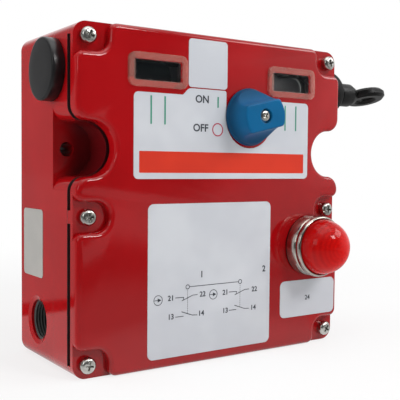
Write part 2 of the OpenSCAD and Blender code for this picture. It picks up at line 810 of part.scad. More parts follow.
spindle_r = 3;
knob_top = case_d + knob_h;
knob_base = case_d + 0.4;
spindle_top = knob_top - 4.4;
cam_disc_r = 9;
cam_disc_t = 3;
crank_r = 6;
crank_pin_r = 1.5;
slide_t = 2;
slide_z = pull_z + drum_d / 2 + 0.2;
cam_disc_z = slide_z + slide_t + 1;
bushing_low = pan_top - 7.5;
bushing_out = 2.9;
knob_nut_t = 2.4;
seal_t = 1.2;
seal_r = 4.6;

module at_knob(z = 0) {
    translate([knob_x, knob_y, z]) children();
}

module knob_bushing() color([0.72, 0.6, 0.35]) upright() {
    at_knob() difference() {
        union() {
            translate([0, 0, bushing_low]) cylinder(r = thread_r, h = case_d + bushing_out - bushing_low);
            translate([0, 0, pan_top - 1.6]) cylinder(r = thread_r + 3, h = 1.6);
        }
        translate([0, 0, bushing_low - 1]) cylinder(r = spindle_r + run_fit, h = case_d);
        translate([0, 0, case_d + bushing_out - 1.5]) cylinder(r = seal_r + loose_fit, h = 3);
    }
}

module knob_nut() color(bright_steel) upright() {
    at_knob(case_d) hex_nut(15, thread_r + loose_fit, knob_nut_t);
}

module spindle_seal() color(black_plastic) upright() {
    at_knob(case_d + bushing_out - 1.5) tube(seal_r, spindle_r + 0.1, seal_t);
}

// Round skirt with a straight grip across it, hollowed on both sides for the fingers
module reset_knob() color([0.0, 0.33, 0.58]) upright() {
    scoop_r = 12;
    skirt_t = 2;
    at_knob() rotate([0, 0, off_angle]) difference() {
        translate([0, 0, knob_base]) rotate_extrude($fn = 96) polygon([
            [0, 0], [knob_d / 2 - 0.5, 0], [knob_d / 2, 0.5], [knob_d / 2, 1.2],
            [knob_d / 2 - 0.7, skirt_t], [knob_d / 2 - 2.1, knob_top - knob_base - 1.2],
            [knob_d / 2 - 3.1, knob_top - knob_base], [0, knob_top - knob_base]
        ]);
        for (side = [-1, 1])
            translate([-knob_d, side * (grip_w / 2 + scoop_r), knob_base + skirt_t + scoop_r])
                rotate([0, 90, 0]) cylinder(r = scoop_r, h = 2 * knob_d, $fn = 96);
        for (side = [-1, 1])
            translate([-knob_d, side * (grip_w / 2 + scoop_r) - scoop_r, knob_base + skirt_t + scoop_r])
                cube([2 * knob_d, 2 * scoop_r, knob_h]);
        translate([0, 0, knob_base - 1]) cylinder(r = 10, h = 4);
        translate([0, 0, knob_base - 1]) cylinder(r = spindle_r + 0.02, h = spindle_top - knob_base + 1.1);
        translate([0, 0, knob_base]) cylinder(r = 1.75, h = knob_h);
        translate([0, 0, knob_top - 2.4]) cylinder(r = 3.6, h = 4);
    }
}

module knob_screw() color(bright_steel) upright() {
    at_knob(knob_top - 2.4) pan_screw(3.2, 6.3, 1.9, 8);
}

module knob_spindle() color(bright_steel) upright() {
    at_knob(cam_disc_z) difference() {
        cylinder(r = spindle_r, h = spindle_top - cam_disc_z);
        translate([0, 0, spindle_top - cam_disc_z - 8]) cylinder(r = 1.65, h = 9);
    }
}

// Disc on the spindle's inner end, whose crank pin moves the latch slide
module reset_cam() color([0.5, 0.5, 0.52]) upright() {
    at_knob() rotate([0, 0, reset_angle / 2]) difference() {
        union() {
            translate([0, 0, cam_disc_z]) cylinder(r = cam_disc_r, h = cam_disc_t);
            translate([crank_r, 0, slide_z - 0.4]) cylinder(r = crank_pin_r, h = cam_disc_z - slide_z + 0.4 + eps);
        }
        translate([0, 0, cam_disc_z - 1]) cylinder(r = spindle_r + 0.02, h = cam_disc_t + 2);
    }
}

latch_post_r = 2;
latch_foot_r = 1.5;
latch_shoulder_r = 3.4;
latch_post_places = [[0, knob_y - 19.7], [0, knob_y - 1.7]];
latch_drop = 2 * crank_r * sin(reset_angle / 2);
latch_gap = 0.3;
strip_w = 10;

module latch_slide() color([0.78, 0.72, 0.5]) upright() {
    pin_y = knob_y + crank_r * sin(reset_angle / 2);
    strip_low = latch_post_places[0][1] - 6;
    arm_w = 2 * crank_pin_r + 6;
    translate([0, 0, slide_z]) difference() {
        union() {
            translate([-strip_w / 2, strip_low, 0]) cube([strip_w, knob_y + 12 - strip_low, slide_t]);
            translate([strip_w / 2 - 1, pin_y - arm_w / 2, 0])
                cube([knob_x + crank_r + 5 - strip_w / 2, arm_w, slide_t]);
        }
        translate([knob_x + crank_r - 0.1, pin_y, -1]) slot_hole(5, crank_pin_r + 0.15, slide_t + 2);
        for (p = latch_post_places) translate([p[0], p[1] + latch_drop / 2, -1])
            rotate([0, 0, 90]) slot_hole(latch_drop + 2 * latch_post_r + 1.6, latch_post_r + latch_gap, slide_t + 2);
    }
}

module latch_posts() color(bright_steel) upright() {
    post_top = slide_z + slide_t + latch_gap;
    for (p = latch_post_places) translate([p[0], p[1], 0]) {
        translate([0, 0, chassis_z]) cylinder(r = latch_foot_r, h = chassis_t + eps);
        translate([0, 0, block_z]) cylinder(r = latch_shoulder_r, h = slide_z - latch_gap - block_z);
        translate([0, 0, block_z]) cylinder(r = latch_post_r, h = post_top - block_z);
        translate([0, 0, post_top]) cylinder(r = latch_shoulder_r, h = 0.5);
    }
}

// ---- Pilot lamp ----

lamp_gasket_t = 0.6;
bezel_low = case_d + lamp_gasket_t;
bezel_top = case_d + bezel_h;
lens_r = lens_d / 2;
lamp_body_top = case_d + 5;
lamp_body_l = 29.5;

module at_lamp(z = 0) {
    translate([lamp_x, lamp_y, z]) children();
}

module lamp_gasket() color(black_plastic) upright() {
    at_lamp(case_d) tube(bezel_d / 2 - 0.3, lamp_hole_r + 0.2, lamp_gasket_t);
}

module lamp_bezel() color([0.8, 0.78, 0.76]) upright() {
    out_r = bezel_d / 2;
    at_lamp() rotate_extrude($fn = 96) polygon([
        [lamp_body_r + 0.1, bezel_low], [out_r, bezel_low], [out_r - 0.9, case_d + bezel_h * 0.58],
        [out_r - 1.2, case_d + bezel_h * 0.66], [out_r - 0.9, case_d + bezel_h * 0.74],
        [out_r - 1.1, bezel_top - 0.6], [out_r - 1.7, bezel_top], [lens_r + 0.1, bezel_top],
        [lens_r + 0.1, lamp_body_top + 0.2], [lamp_body_r + 0.1, lamp_body_top + 0.2]
    ]);
}

// Clear dome with a short skirt held in the bezel
module lamp_lens() color([0.8, 0.08, 0.06, 0.7]) upright() {
    lens_wall = 2;
    lens_low = lamp_body_top + 0.3;
    at_lamp() difference() {
        union() {
            translate([0, 0, lens_low]) cylinder(r = lens_r, h = bezel_top - lens_low);
            translate([0, 0, bezel_top]) intersection() {
                sphere(r = lens_r, $fn = 96);
                translate([0, 0, lens_r]) cube(2 * lens_r, center = true);
            }
        }
        translate([0, 0, lens_low - 1]) cylinder(r = lens_r - lens_wall, h = bezel_top - lens_low + 1);
        translate([0, 0, bezel_top]) sphere(r = lens_r - lens_wall, $fn = 96);
    }
}

module lamp_body() color(black_plastic) upright() {
    at_lamp(lamp_body_top - lamp_body_l) cylinder(r = lamp_body_r, h = lamp_body_l);
}

module lamp_nut() color(bright_steel) upright() {
    at_lamp(pan_top - 3.4) hex_nut(24, lamp_body_r + loose_fit, 3.4);
}

module lamp_led() color([0.95, 0.85, 0.8]) upright() {
    at_lamp(lamp_body_top) {
        cylinder(r = 4.5, h = 5);
        translate([0, 0, 5]) intersection() {
            sphere(r = 4.5);
            translate([0, 0, 4.5]) cube(9, center = true);
        }
    }
}

module ground_screw() color([0.3, 0.6, 0.3]) upright() {
    translate([ground_place[0], ground_place[1], floor_t + ground_boss_h]) pan_screw(3.2, 8, 2.6, 5);
}

housing_base();
cover();
cover_gasket();
cover_screws();
screw_washers();
left_window();
right_window();
cable_cap();
cap_nut();
left_stem();
left_cam();
left_indicator();
shaft_bushing();
bushing_clip();
boot();
chassis_plate();
chassis_posts();
chassis_screws();
left_switch();
right_switch();
left_plunger();
switch_screws();
terminal_screws();
knob_bushing();
knob_nut();
spindle_seal();
lamp_gasket();
lamp_bezel();
lamp_lens();
lamp_body();
lamp_nut();
lamp_led();
ground_screw();
latch_posts();
latch_slide();
pull_shaft();
pull_eye();
cam_block();
cam_pin();
right_indicator();
drum_clip();
pull_spring();
spring_sleeve();
right_plunger();
reset_knob();
knob_screw();
knob_spindle();
reset_cam();
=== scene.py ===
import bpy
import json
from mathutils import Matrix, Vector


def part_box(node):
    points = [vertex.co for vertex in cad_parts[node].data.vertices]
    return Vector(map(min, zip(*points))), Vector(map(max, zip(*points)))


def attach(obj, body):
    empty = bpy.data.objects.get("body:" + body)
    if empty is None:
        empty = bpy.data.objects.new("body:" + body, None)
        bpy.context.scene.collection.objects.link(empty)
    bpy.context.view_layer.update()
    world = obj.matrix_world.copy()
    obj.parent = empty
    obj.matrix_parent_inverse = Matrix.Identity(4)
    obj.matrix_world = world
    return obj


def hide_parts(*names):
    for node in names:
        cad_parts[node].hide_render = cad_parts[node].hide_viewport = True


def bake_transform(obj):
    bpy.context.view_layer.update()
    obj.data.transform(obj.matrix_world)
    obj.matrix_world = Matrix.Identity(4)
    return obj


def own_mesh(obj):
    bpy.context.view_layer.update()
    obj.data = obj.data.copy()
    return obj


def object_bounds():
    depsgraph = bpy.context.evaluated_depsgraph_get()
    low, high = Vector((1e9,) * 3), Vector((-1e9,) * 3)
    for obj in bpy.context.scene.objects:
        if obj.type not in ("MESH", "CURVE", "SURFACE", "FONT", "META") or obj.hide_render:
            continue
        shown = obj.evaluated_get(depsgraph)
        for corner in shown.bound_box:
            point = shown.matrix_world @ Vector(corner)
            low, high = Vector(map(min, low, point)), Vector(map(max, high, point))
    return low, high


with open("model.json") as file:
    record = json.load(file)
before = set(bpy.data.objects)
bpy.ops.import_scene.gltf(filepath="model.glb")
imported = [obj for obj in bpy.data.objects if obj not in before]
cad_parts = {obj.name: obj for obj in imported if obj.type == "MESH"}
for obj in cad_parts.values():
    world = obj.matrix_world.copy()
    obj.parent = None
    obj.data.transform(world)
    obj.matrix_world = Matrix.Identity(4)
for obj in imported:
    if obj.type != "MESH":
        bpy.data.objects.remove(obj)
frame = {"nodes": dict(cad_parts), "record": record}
cadBox = [list(corner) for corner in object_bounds()]

import json
from math import atan2, cos, hypot, pi, radians, sin, sqrt

import bmesh
import bpy
from mathutils import Matrix, Vector

mm = 0.001
hair = 0.02 * mm      # how far new pieces stay inside their solids, and plates sink into what they lie on
scene = bpy.context.scene
nodes = frame["nodes"]
mounts = {mount["name"]: mount["pos_m"] for mount in frame["record"]["mounts"]}


def span(node):
    # a node's lowest corner, its highest and its middle
    low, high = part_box(node)
    return low, high, (low + high) / 2


coverLow, coverHigh, _ = span("cover")
frontY = coverLow.y        # the cover's front looks along -Y
leftX = coverLow.x         # the housing's left side looks along -X


def paint(red, green, blue):
    # a colour as it shows on a screen, 0 to 255, turned into linear light
    parts = [part / 255 for part in (red, green, blue)]
    return (*[part / 12.92 if part <= 0.04045 else ((part + 0.055) / 1.055) ** 2.4 for part in parts], 1.0)


def sign(operation, swapped=False):
    # a method for one kind of sum
    def method(self, *values):
        pair = (*values, self) if swapped else (self, *values)
        return self.finish.add("ShaderNodeMath", dict(enumerate(pair)), operation=operation)
    return method


class Signal:
    # a socket that sums can be written on; each sum adds a Math node
    def __init__(self, finish, socket):
        self.finish = finish
        self.socket = socket

    __add__, __radd__ = sign("ADD"), sign("ADD", True)
    __sub__, __rsub__ = sign("SUBTRACT"), sign("SUBTRACT", True)
    __mul__, __rmul__ = sign("MULTIPLY"), sign("MULTIPLY", True)
    __pow__, __gt__, __lt__ = sign("POWER"), sign("GREATER_THAN"), sign("LESS_THAN")
    size, upper, wave = sign("ABSOLUTE"), sign("MAXIMUM"), sign("SINE")

    def other(self, name):
        return Signal(self.finish, self.socket.node.outputs[name])

    def ease(self, low, high, start=0.0, end=1.0):
        # goes smoothly from start at low to end at high
        return self.finish.add("ShaderNodeMapRange", {
            "Value": self, "From Min": low, "From Max": high, "To Min": start, "To Max": end,
        }, interpolation_type="SMOOTHSTEP")


class Finish:
    # a material, or a world, being put together
    def __init__(self, name, holder=None):
        self.holder = holder or bpy.data.materials.new(name)
        self.holder.use_nodes = True
        self.tree = self.holder.node_tree
        self.tree.nodes.clear()
        if holder is None:
            self.place = self.add("ShaderNodeTexCoord", out="Object")
            self.x, self.y, self.z = (self.split(self.place, axis) for axis in "XYZ")

    def add(self, kind, values=None, out=0, **settings):
        # settings come first, because they can change which sockets there are
        node = self.tree.nodes.new(kind)
        for key, value in settings.items():
            setattr(node, key, value)
        for key, value in (values or {}).items():
            if isinstance(value, Signal):
                self.tree.links.new(value.socket, node.inputs[key])
            else:
                node.inputs[key].default_value = value
        return Signal(self, node.outputs[out]) if len(node.outputs) else None

    def split(self, vector, axis):
        return self.add("ShaderNodeSeparateXYZ", {"Vector": vector}, axis)

    def noise(self, scale, detail=2.0, rough=0.5, where=None):
        return self.add("ShaderNodeTexNoise", {
            "Vector": where or self.place, "Scale": scale, "Detail": detail, "Roughness": rough}, "Fac")

    def stretched(self, scale):
        return self.add("ShaderNodeMapping", {"Vector": self.place, "Scale": scale}, "Vector")

    def mix(self, factor, first, second):
        tints = {key: tint if isinstance(tint, Signal) else paint(*tint)
                 for key, tint in ((6, first), (7, second))}
        return self.add("ShaderNodeMix", {0: factor, **tints}, 2, data_type="RGBA")

    def bump(self, height, strength, distance):
        values = {"Height": height, "Strength": strength, "Distance": distance * mm}
        return self.add("ShaderNodeBump", values, "Normal")

    def overWindow(self, side, insetX, insetZ):
        # 1 over one of the two windows, drawn in from its edges
        low, high, middle = span(side + "_window")
        half = (high - low) / 2
        return ((self.x - middle.x).size() < half.x - insetX * mm) * (
            (self.z - middle.z).size() < half.z - insetZ * mm)

    def rays(self):
        # what the camera sees, and what gloss and clear plastic see
        path = self.add("ShaderNodeLightPath", out="Is Camera Ray")
        return path, path.other("Is Glossy Ray").upper(path.other("Is Transmission Ray"))

    def surface(self, values):
        shader = self.add("ShaderNodeBsdfPrincipled", values, "BSDF")
        self.add("ShaderNodeOutputMaterial", {"Surface": shader})
        return self.holder


enamel = {
    "body": (164, 11, 17), "deep": (150, 8, 13), "flow": 22, "peel": 420, "speck": 900,
    "rough": 0.07, "flowRough": 0.03, "speckRough": 0.08, "gloss": 0.45, "bump": 0.10, "depth": 0.12,
    # the dark of sealant at the gasket rim; inside the window openings the same colour is painted shade
    "sealantAndShade": ((46, 36, 36), 0.3),
}


def makeEnamel(name, dress):
    # stoved enamel with a little orange peel; dress adds what only one of the castings has
    finish = Finish(name)
    flow = finish.noise(enamel["flow"], 3.0, 0.5)
    peel = finish.noise(enamel["peel"], 2.0, 0.45)
    fleck = finish.noise(enamel["speck"], 1.0, 0.6)
    specks = fleck.ease(0.62, 0.8)
    coat = {
        "Base Color": finish.mix(flow.ease(0.35, 0.7), enamel["deep"], enamel["body"]),
        "Roughness": enamel["rough"] + flow * enamel["flowRough"] + specks * enamel["speckRough"],
        "Metallic": 0.0, "IOR": 1.5, "Specular IOR Level": enamel["gloss"]}
    height = dress(finish, coat, peel + fleck * 0.15)
    return finish.surface({**coat, "Normal": finish.bump(height, enamel["bump"], enamel["depth"])})


def lay(finish, coat, mask, tint, rough):
    # another layer where the mask is 1, rougher than the enamel by rough
    coat["Base Color"] = finish.mix(mask, coat["Base Color"], tint)
    if rough:
        coat["Roughness"] = coat["Roughness"] + mask * rough


baseCoat = {
    "metal": (92, 88, 84), "metalDark": (70, 66, 62), "grain": 1500, "metalRough": 0.4, "metallic": 0.6,
    "sand": 1.5, "wall": 3.3, "back": 4.0, "above": 46.0, "below": -3.0, "rimWide": 0.2,
    # the dark red of the painted shade at the back of the notches, and how much of it is mixed in
    "paintedNotchShade": (58, 10, 14), "paintedNotchShadeShare": 0.8, "mouth": 79.6, "end": 66.0, "halfTall": 20.0, "front": -43.7,
    "parting": -43.8, "partingWide": (0.1, 0.4), "partingDeep": 14,
}


def dressBase(finish, coat, height):
    # bare casting inside the walls, away from the ears and their notches
    inX = finish.x.size() < -leftX - baseCoat["wall"] * mm
    inZ = finish.z.size() < coverHigh.z - baseCoat["wall"] * mm
    band = (finish.z > baseCoat["above"] * mm) + (finish.z < baseCoat["below"] * mm)
    raw = inX * inZ * band * (finish.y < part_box("housing_base")[1].y - baseCoat["back"] * mm)
    grain = finish.noise(baseCoat["grain"], 3.0, 0.6)
    metal = finish.mix(grain, baseCoat["metalDark"], baseCoat["metal"])
    lay(finish, coat, raw, metal, baseCoat["metalRough"])
    coat["Metallic"] = raw * baseCoat["metallic"]
    height = height + raw * grain * baseCoat["sand"]
    # the rim beside the gasket is dark with dirt and sealant
    rim = (finish.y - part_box("cover_gasket")[1].y).size() < baseCoat["rimWide"] * mm
    lay(finish, coat, rim, *enamel["sealantAndShade"])
    # painted shade: the paint is darkened towards the back of the two notches
    deepX = finish.x.size().ease(baseCoat["mouth"] * mm, baseCoat["end"] * mm)
    nearZ = (finish.z - mounts["ear_holes"][2]).size() < baseCoat["halfTall"] * mm
    paintedNotchShade = deepX * nearZ * (finish.y < baseCoat["front"] * mm) * baseCoat["paintedNotchShadeShare"]
    lay(finish, coat, paintedNotchShade, baseCoat["paintedNotchShade"], 0)
    # the die's parting line, dressed off before painting
    start, end = (wide * mm for wide in baseCoat["partingWide"])
    parting = (finish.y - baseCoat["parting"] * mm).size().ease(start, end, 1.0, 0.0)
    return height - parting * baseCoat["partingDeep"]


coverCoat = {"inset": 0.5, "behind": 0.25}


def dressCover(finish, coat, height):
    # the cut edges of the window openings are dark too: sealant, and painted shade deep inside the windows
    for side in ("left", "right"):
        opening = finish.overWindow(side, coverCoat["inset"], coverCoat["inset"])
        lay(finish, coat, opening * (finish.y > frontY + coverCoat["behind"] * mm), *enamel["sealantAndShade"])
    return height


rubber = {"tint": (14, 14, 14), "dust": (28, 26, 24), "grain": 2600, "bloom": 60, "rough": 0.5, "gloss": 0.14}


def makeRubber(name):
    finish = Finish(name)
    grain = finish.noise(rubber["grain"], 3.0, 0.6)
    bloom = finish.noise(rubber["bloom"], 4.0, 0.55)
    return finish.surface({
        "Base Color": finish.mix(bloom.ease(0.52, 0.85), rubber["tint"], rubber["dust"]),
        "Roughness": rubber["rough"] + bloom * 0.16, "Specular IOR Level": rubber["gloss"],
        "Normal": finish.bump(grain, 0.22, 0.1)})


def makeSteel(name, light, dark, rough, scratch=0.14):
    # drawn or turned metal: fine lines round the axis, and a faint bloom
    finish = Finish(name)
    drawn = finish.noise(70, 4.0, 0.6, finish.stretched((1.0, 9.0, 9.0)))
    bloom = finish.noise(260, 3.0, 0.5)
    return finish.surface({
        "Base Color": finish.mix(bloom.ease(0.3, 0.75), dark, light), "Metallic": 1.0,
        "Roughness": rough + bloom * 0.1 + drawn * 0.05, "Normal": finish.bump(drawn, scratch, 0.03)})


def makeCasting(name, light, dark):
    # cast or cut metal, grainy under a soft cloud of tone
    finish = Finish(name)
    grain = finish.noise(1300, 4.0, 0.65)
    cloud = finish.noise(70, 2.0)
    return finish.surface({
        "Base Color": finish.mix(cloud * 0.6 + grain * 0.4, dark, light), "Metallic": 0.75,
        "Roughness": 0.42 + grain * 0.14, "Normal": finish.bump(grain, 0.3, 0.08)})


def makePlastic(name, tint, shade, rough, grain=2200, gloss=0.45, lift=0.12):
    # a moulding with fine spark-eroded texture and slight flow marks
    finish = Finish(name)
    fine = finish.noise(grain, 2.0, 0.55)
    flow = finish.noise(45, 3.0, 0.5, finish.stretched((1.0, 1.0, 2.5)))
    return finish.surface({
        "Base Color": finish.mix(flow.ease(0.3, 0.75), shade, tint), "Roughness": rough + fine * 0.08,
        "Specular IOR Level": gloss, "Normal": finish.bump(fine, lift, 0.06)})


knobPlastic = {
    # the colour at the grip's top, and the darker colour at the skirt, which is painted shade
    "top": (0, 92, 140), "skirt": (0, 62, 98), "from": 1.0, "to": 12.0, "flowShare": 0.2,
    "rough": 0.44, "rubbed": 0.08, "gloss": 0.16,
}


def makeKnobBlue(name):
    # painted shade: the colour darkens from the grip's top down to the skirt; the grip is rubbed smoother by
    # hands, the skirt stays duller
    finish = Finish(name)
    fine = finish.noise(1500, 2.0, 0.55)
    flow = finish.noise(45, 3.0, 0.5, finish.stretched((1.0, 1.0, 2.5)))
    height = (frontY - finish.y).ease(knobPlastic["from"] * mm, knobPlastic["to"] * mm)
    paintedShadeByHeight = finish.mix(height, knobPlastic["skirt"], knobPlastic["top"])
    flowed = flow.ease(0.4, 0.8) * knobPlastic["flowShare"]
    return finish.surface({
        "Base Color": finish.mix(flowed, paintedShadeByHeight, knobPlastic["skirt"]),
        "Roughness": knobPlastic["rough"] - height * knobPlastic["rubbed"] + fine * 0.08,
        "Specular IOR Level": knobPlastic["gloss"], "Normal": finish.bump(fine, 0.1, 0.06)})


windowPlastic = {
    "tint": (232, 164, 150), "clear": (70, 78, 82), "pit": (210, 205, 200), "rim": 3.1, "pitted": (1.3, 1.0),
    "frameAlpha": 0.26, "paneAlpha": 0.05, "pitAlpha": 0.6, "rough": 0.14, "pitRough": 0.3,
}


def makeWindow(name, side):
    # clear moulding: faintly milky in the frame, clearer in the pane, pitted where the two meet
    finish = Finish(name)
    rim = windowPlastic["rim"]
    pane = finish.overWindow(side, rim, rim)
    standing = 1 - pane
    border = pane * (1 - finish.overWindow(side, *(rim + wide for wide in windowPlastic["pitted"])))
    pits = finish.noise(1300, 2.0, 0.7).ease(0.58, 0.68) * (border * 0.8 + standing * 0.25)
    milky = windowPlastic["frameAlpha"] - windowPlastic["paneAlpha"]
    tint = finish.mix(standing, windowPlastic["clear"], windowPlastic["tint"])
    return finish.surface({
        "Base Color": finish.mix(pits, tint, windowPlastic["pit"]),
        "Roughness": windowPlastic["rough"] + pits * windowPlastic["pitRough"],
        "Alpha": windowPlastic["paneAlpha"] + standing * milky + pits * windowPlastic["pitAlpha"],
        "Specular IOR Level": 0.6, "Coat Weight": 1.0, "Coat Roughness": 0.05,
        "Normal": finish.bump(finish.noise(160, 2.0), 0.12, 0.3)})


lensPlastic = {
    # deep, lit, crest and spot are painted light across the lens, and glow is its painted glow
    "deep": (164, 9, 9), "lit": (216, 16, 11), "crest": (236, 30, 20), "spot": (255, 44, 30),
    "ringPitch": 1.9, "ringShare": 0.12, "lean": 0.3, "litOver": (-12.0, 15.0),
    "spotPlace": (9.5, -3.0), "spotWide": (0.4, 2.6), "spotShare": 0.75, "glow": 0.06, "gloss": 0.2,
}


def makeLens(name):
    # moulded lens with fine rings, their crests painted a little lighter as painted highlights
    finish = Finish(name)
    middle = span("lamp_lens")[2]
    acrossX, acrossZ = finish.x - middle.x, finish.z - middle.z
    radius = (acrossX ** 2 + acrossZ ** 2) ** 0.5
    rings = (radius * (2 * pi / (lensPlastic["ringPitch"] * mm))).wave()
    # painted light: the far side of the moulding is painted brighter, most of all at one spot, and a faint
    # emission makes the lens glow
    start, end = (part * mm for part in lensPlastic["litOver"])
    paintedInnerLight = (acrossX - acrossZ * lensPlastic["lean"]).ease(start, end)
    tint = finish.mix(paintedInnerLight, lensPlastic["deep"], lensPlastic["lit"])
    tint = finish.mix(rings.ease(-1.0, 1.0) * lensPlastic["ringShare"], tint, lensPlastic["crest"])
    spotX, spotZ = (part * mm for part in lensPlastic["spotPlace"])
    start, end = (part * mm for part in lensPlastic["spotWide"])
    distance = ((acrossX - spotX) ** 2 + (acrossZ - spotZ) ** 2) ** 0.5
    tint = finish.mix(distance.ease(start, end, lensPlastic["spotShare"], 0.0), tint, lensPlastic["spot"])
    return finish.surface({
        "Base Color": tint, "Roughness": 0.08 + finish.noise(300) * 0.03, "Emission Color": tint,
        "Emission Strength": lensPlastic["glow"], "Specular IOR Level": lensPlastic["gloss"],
        "Subsurface Weight": 0.1, "Subsurface Scale": 2 * mm, "Subsurface Radius": (1.0, 0.15, 0.1),
        "Normal": finish.bump(rings, 0.006, 0.2)})


# its glow is painted light
edgePlastic = {"shade": (200, 200, 198), "tint": (226, 226, 222), "rough": 0.3, "glow": 0.22}


def makeEdgeLit(name):
    # clear moulding painted bright, with a faint glow of its own that is painted light
    finish = Finish(name)
    cloud = finish.noise(500, 2.0)
    tint = finish.mix(cloud, edgePlastic["shade"], edgePlastic["tint"])
    return finish.surface({
        "Base Color": tint, "Roughness": edgePlastic["rough"] + cloud * 0.1, "Emission Color": tint,
        "Emission Strength": edgePlastic["glow"], "Normal": finish.bump(cloud, 0.1, 0.05)})


def makeFilm(name, tint, shade, rough=0.3):
    # printed polyester film over a slightly uneven adhesive
    finish = Finish(name)
    cloud = finish.noise(35, 2.0)
    weave = finish.noise(3200, 1.0)
    ripple = finish.noise(140, 2.0)
    return finish.surface({
        "Base Color": finish.mix(cloud.ease(0.35, 0.7), shade, tint), "Roughness": rough + weave * 0.08,
        "Specular IOR Level": 0.4, "Normal": finish.bump(ripple + weave * 0.05, 0.08, 0.15)})


redPaint = makeEnamel("red enamel on casting", dressBase)
redPaintCover = makeEnamel("red enamel on cover", dressCover)
blackRubber = makeRubber("black rubber")
brightSteel = makeSteel("bright plated steel", (214, 213, 208), (182, 180, 174), 0.16)
springSteel = makeSteel("spring steel wire", (170, 168, 164), (128, 126, 122), 0.24)
sheetSteel = makeSteel("zinc plated sheet", (192, 192, 186), (158, 160, 156), 0.3, 0.25)
brassMetal = makeSteel("machined brass", (206, 172, 96), (168, 132, 66), 0.22)
chromeMetal = makeSteel("bright chrome", (196, 188, 178), (176, 168, 160), 0.06, 0.03)
turnedSteel = makeCasting("turned steel", (206, 204, 200), (176, 174, 170))
zincCasting = makeCasting("bare zinc casting", (150, 148, 144), (104, 102, 100))
darkThread = makeCasting("cut thread in casting", (128, 130, 128), (60, 62, 62))
blackMoulding = makePlastic("black moulding", (26, 26, 28), (18, 18, 20), 0.28)
satinBlack = makePlastic("satin black coating", (20, 20, 19), (13, 13, 13), 0.34, 1200, 0.2, 0.3)
sleeveGrey = makePlastic("grey sleeve moulding", (228, 230, 232), (218, 220, 223), 0.45)
darkMoulding = makePlastic("near black moulding", (34, 40, 44), (24, 30, 34), 0.35)
creamMoulding = makePlastic("cream moulding", (226, 220, 200), (210, 202, 180), 0.35)
knobBlue = makeKnobBlue("blue moulding")
ledPlastic = makePlastic("pale diffuser", (244, 224, 214), (228, 200, 188), 0.3)
greenPaint = makePlastic("green lacquer", (58, 140, 70), (44, 118, 58), 0.35)
windowClear = {side: makeWindow(side + " clear moulding", side) for side in ("left", "right")}
lensRed = makeLens("red lens")
edgeLit = makeEdgeLit("moulding with painted glow")
labelFilm = makeFilm("grey label film", (205, 208, 213), (196, 199, 205))
sideFilm = makeFilm("dull label film", (168, 165, 160), (158, 156, 152))
bannerFilm = makeFilm("orange print", (214, 50, 20), (204, 44, 18))
greenInk = makeFilm("green ink", (70, 152, 128), (60, 140, 116))
redInk = makeFilm("red ink", (190, 60, 86), (176, 48, 74))
darkInk = makeFilm("dark ink", (62, 66, 76), (50, 54, 62))
print("finishes ready")


def keep(name, bm, material, node=None, smooth=40, body="housing"):
    # turns a bmesh into a piece that rides on a body; edges sharper than smooth stay crisp
    for item in bm.faces:
        item.smooth = True
    for edge in bm.edges:
        if len(edge.link_faces) == 2 and edge.calc_face_angle(0.0) > radians(smooth):
            edge.smooth = False
    mesh = bpy.data.meshes.new(name)
    bm.to_mesh(mesh)
    bm.free()
    mesh.materials.append(material)
    piece = bpy.data.objects.new(name, mesh)
    scene.collection.objects.link(piece)
    if body:
        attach(piece, body)
    if node:
        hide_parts(node)
    return piece


def levelNormals(piece, smooth):
    # flat faces keep their own normal, so that they mirror straight, and fillets bend to meet them
    mesh = piece.data
    planes, keys, around, limit = {}, [], {}, cos(radians(smooth))
    for facet in mesh.polygons:
        away = facet.center.dot(facet.normal)
        key = (*[round(part, 3) for part in facet.normal], round(away / mm, 2))
        keys.append(key)
        planes[key] = planes.get(key, 0.0) + facet.area
    for facet, key in zip(mesh.polygons, keys):
        for vertex in facet.vertices:
            around.setdefault(vertex, []).append(facet.normal * planes[key])
    turned = []
    for facet in mesh.polygons:
        for vertex in facet.vertices:
            near = [part for part in around[vertex]
                    if part.length > 0 and part.normalized().dot(facet.normal) > limit]
            turned.append(sum(near, Vector()).normalized())
    mesh.normals_split_custom_set(turned)


def soften(piece, width, segments=2, limit=40):
    # fine rounding of the edges that are sharper than limit
    made = piece.modifiers.new("rounding", "BEVEL")
    made.width = width * mm
    made.segments = segments
    made.limit_method = "ANGLE"
    made.angle_limit = radians(limit)
    made.use_clamp_overlap = True
    made.harden_normals = True


def merged(node, flat=False):
    # a clean copy of a node's mesh, its doubles merged and, where asked, its flat faces made whole
    bm = bmesh.new()
    bm.from_mesh(nodes[node].data)
    bmesh.ops.remove_doubles(bm, verts=bm.verts[:], dist=2e-6)
    if flat:
        bmesh.ops.dissolve_limit(bm, angle_limit=radians(0.6), verts=bm.verts[:], edges=bm.edges[:])
    return bm


def turn(bm, angle, axis, centre=(0, 0, 0), verts=None):
    bmesh.ops.rotate(bm, verts=verts or bm.verts[:], cent=centre, matrix=Matrix.Rotation(angle, 3, axis))


def outline(bm, points, closed=True):
    # vertices and edges through points, ready to be spun
    rim = [bm.verts.new(point) for point in points]
    return rim + [bm.edges.new(pair) for pair in zip(rim, rim[1:] + (rim[:1] if closed else []))]


def arc(centre, reach, swell, start, end, steps):
    # points of an arc or an oval, as (distance along the axis, radius), its angles in degrees
    angles = [radians(start + (end - start) * step / steps) for step in range(steps + 1)]
    return [(centre[0] + reach * sin(angle), centre[1] + swell * cos(angle)) for angle in angles]


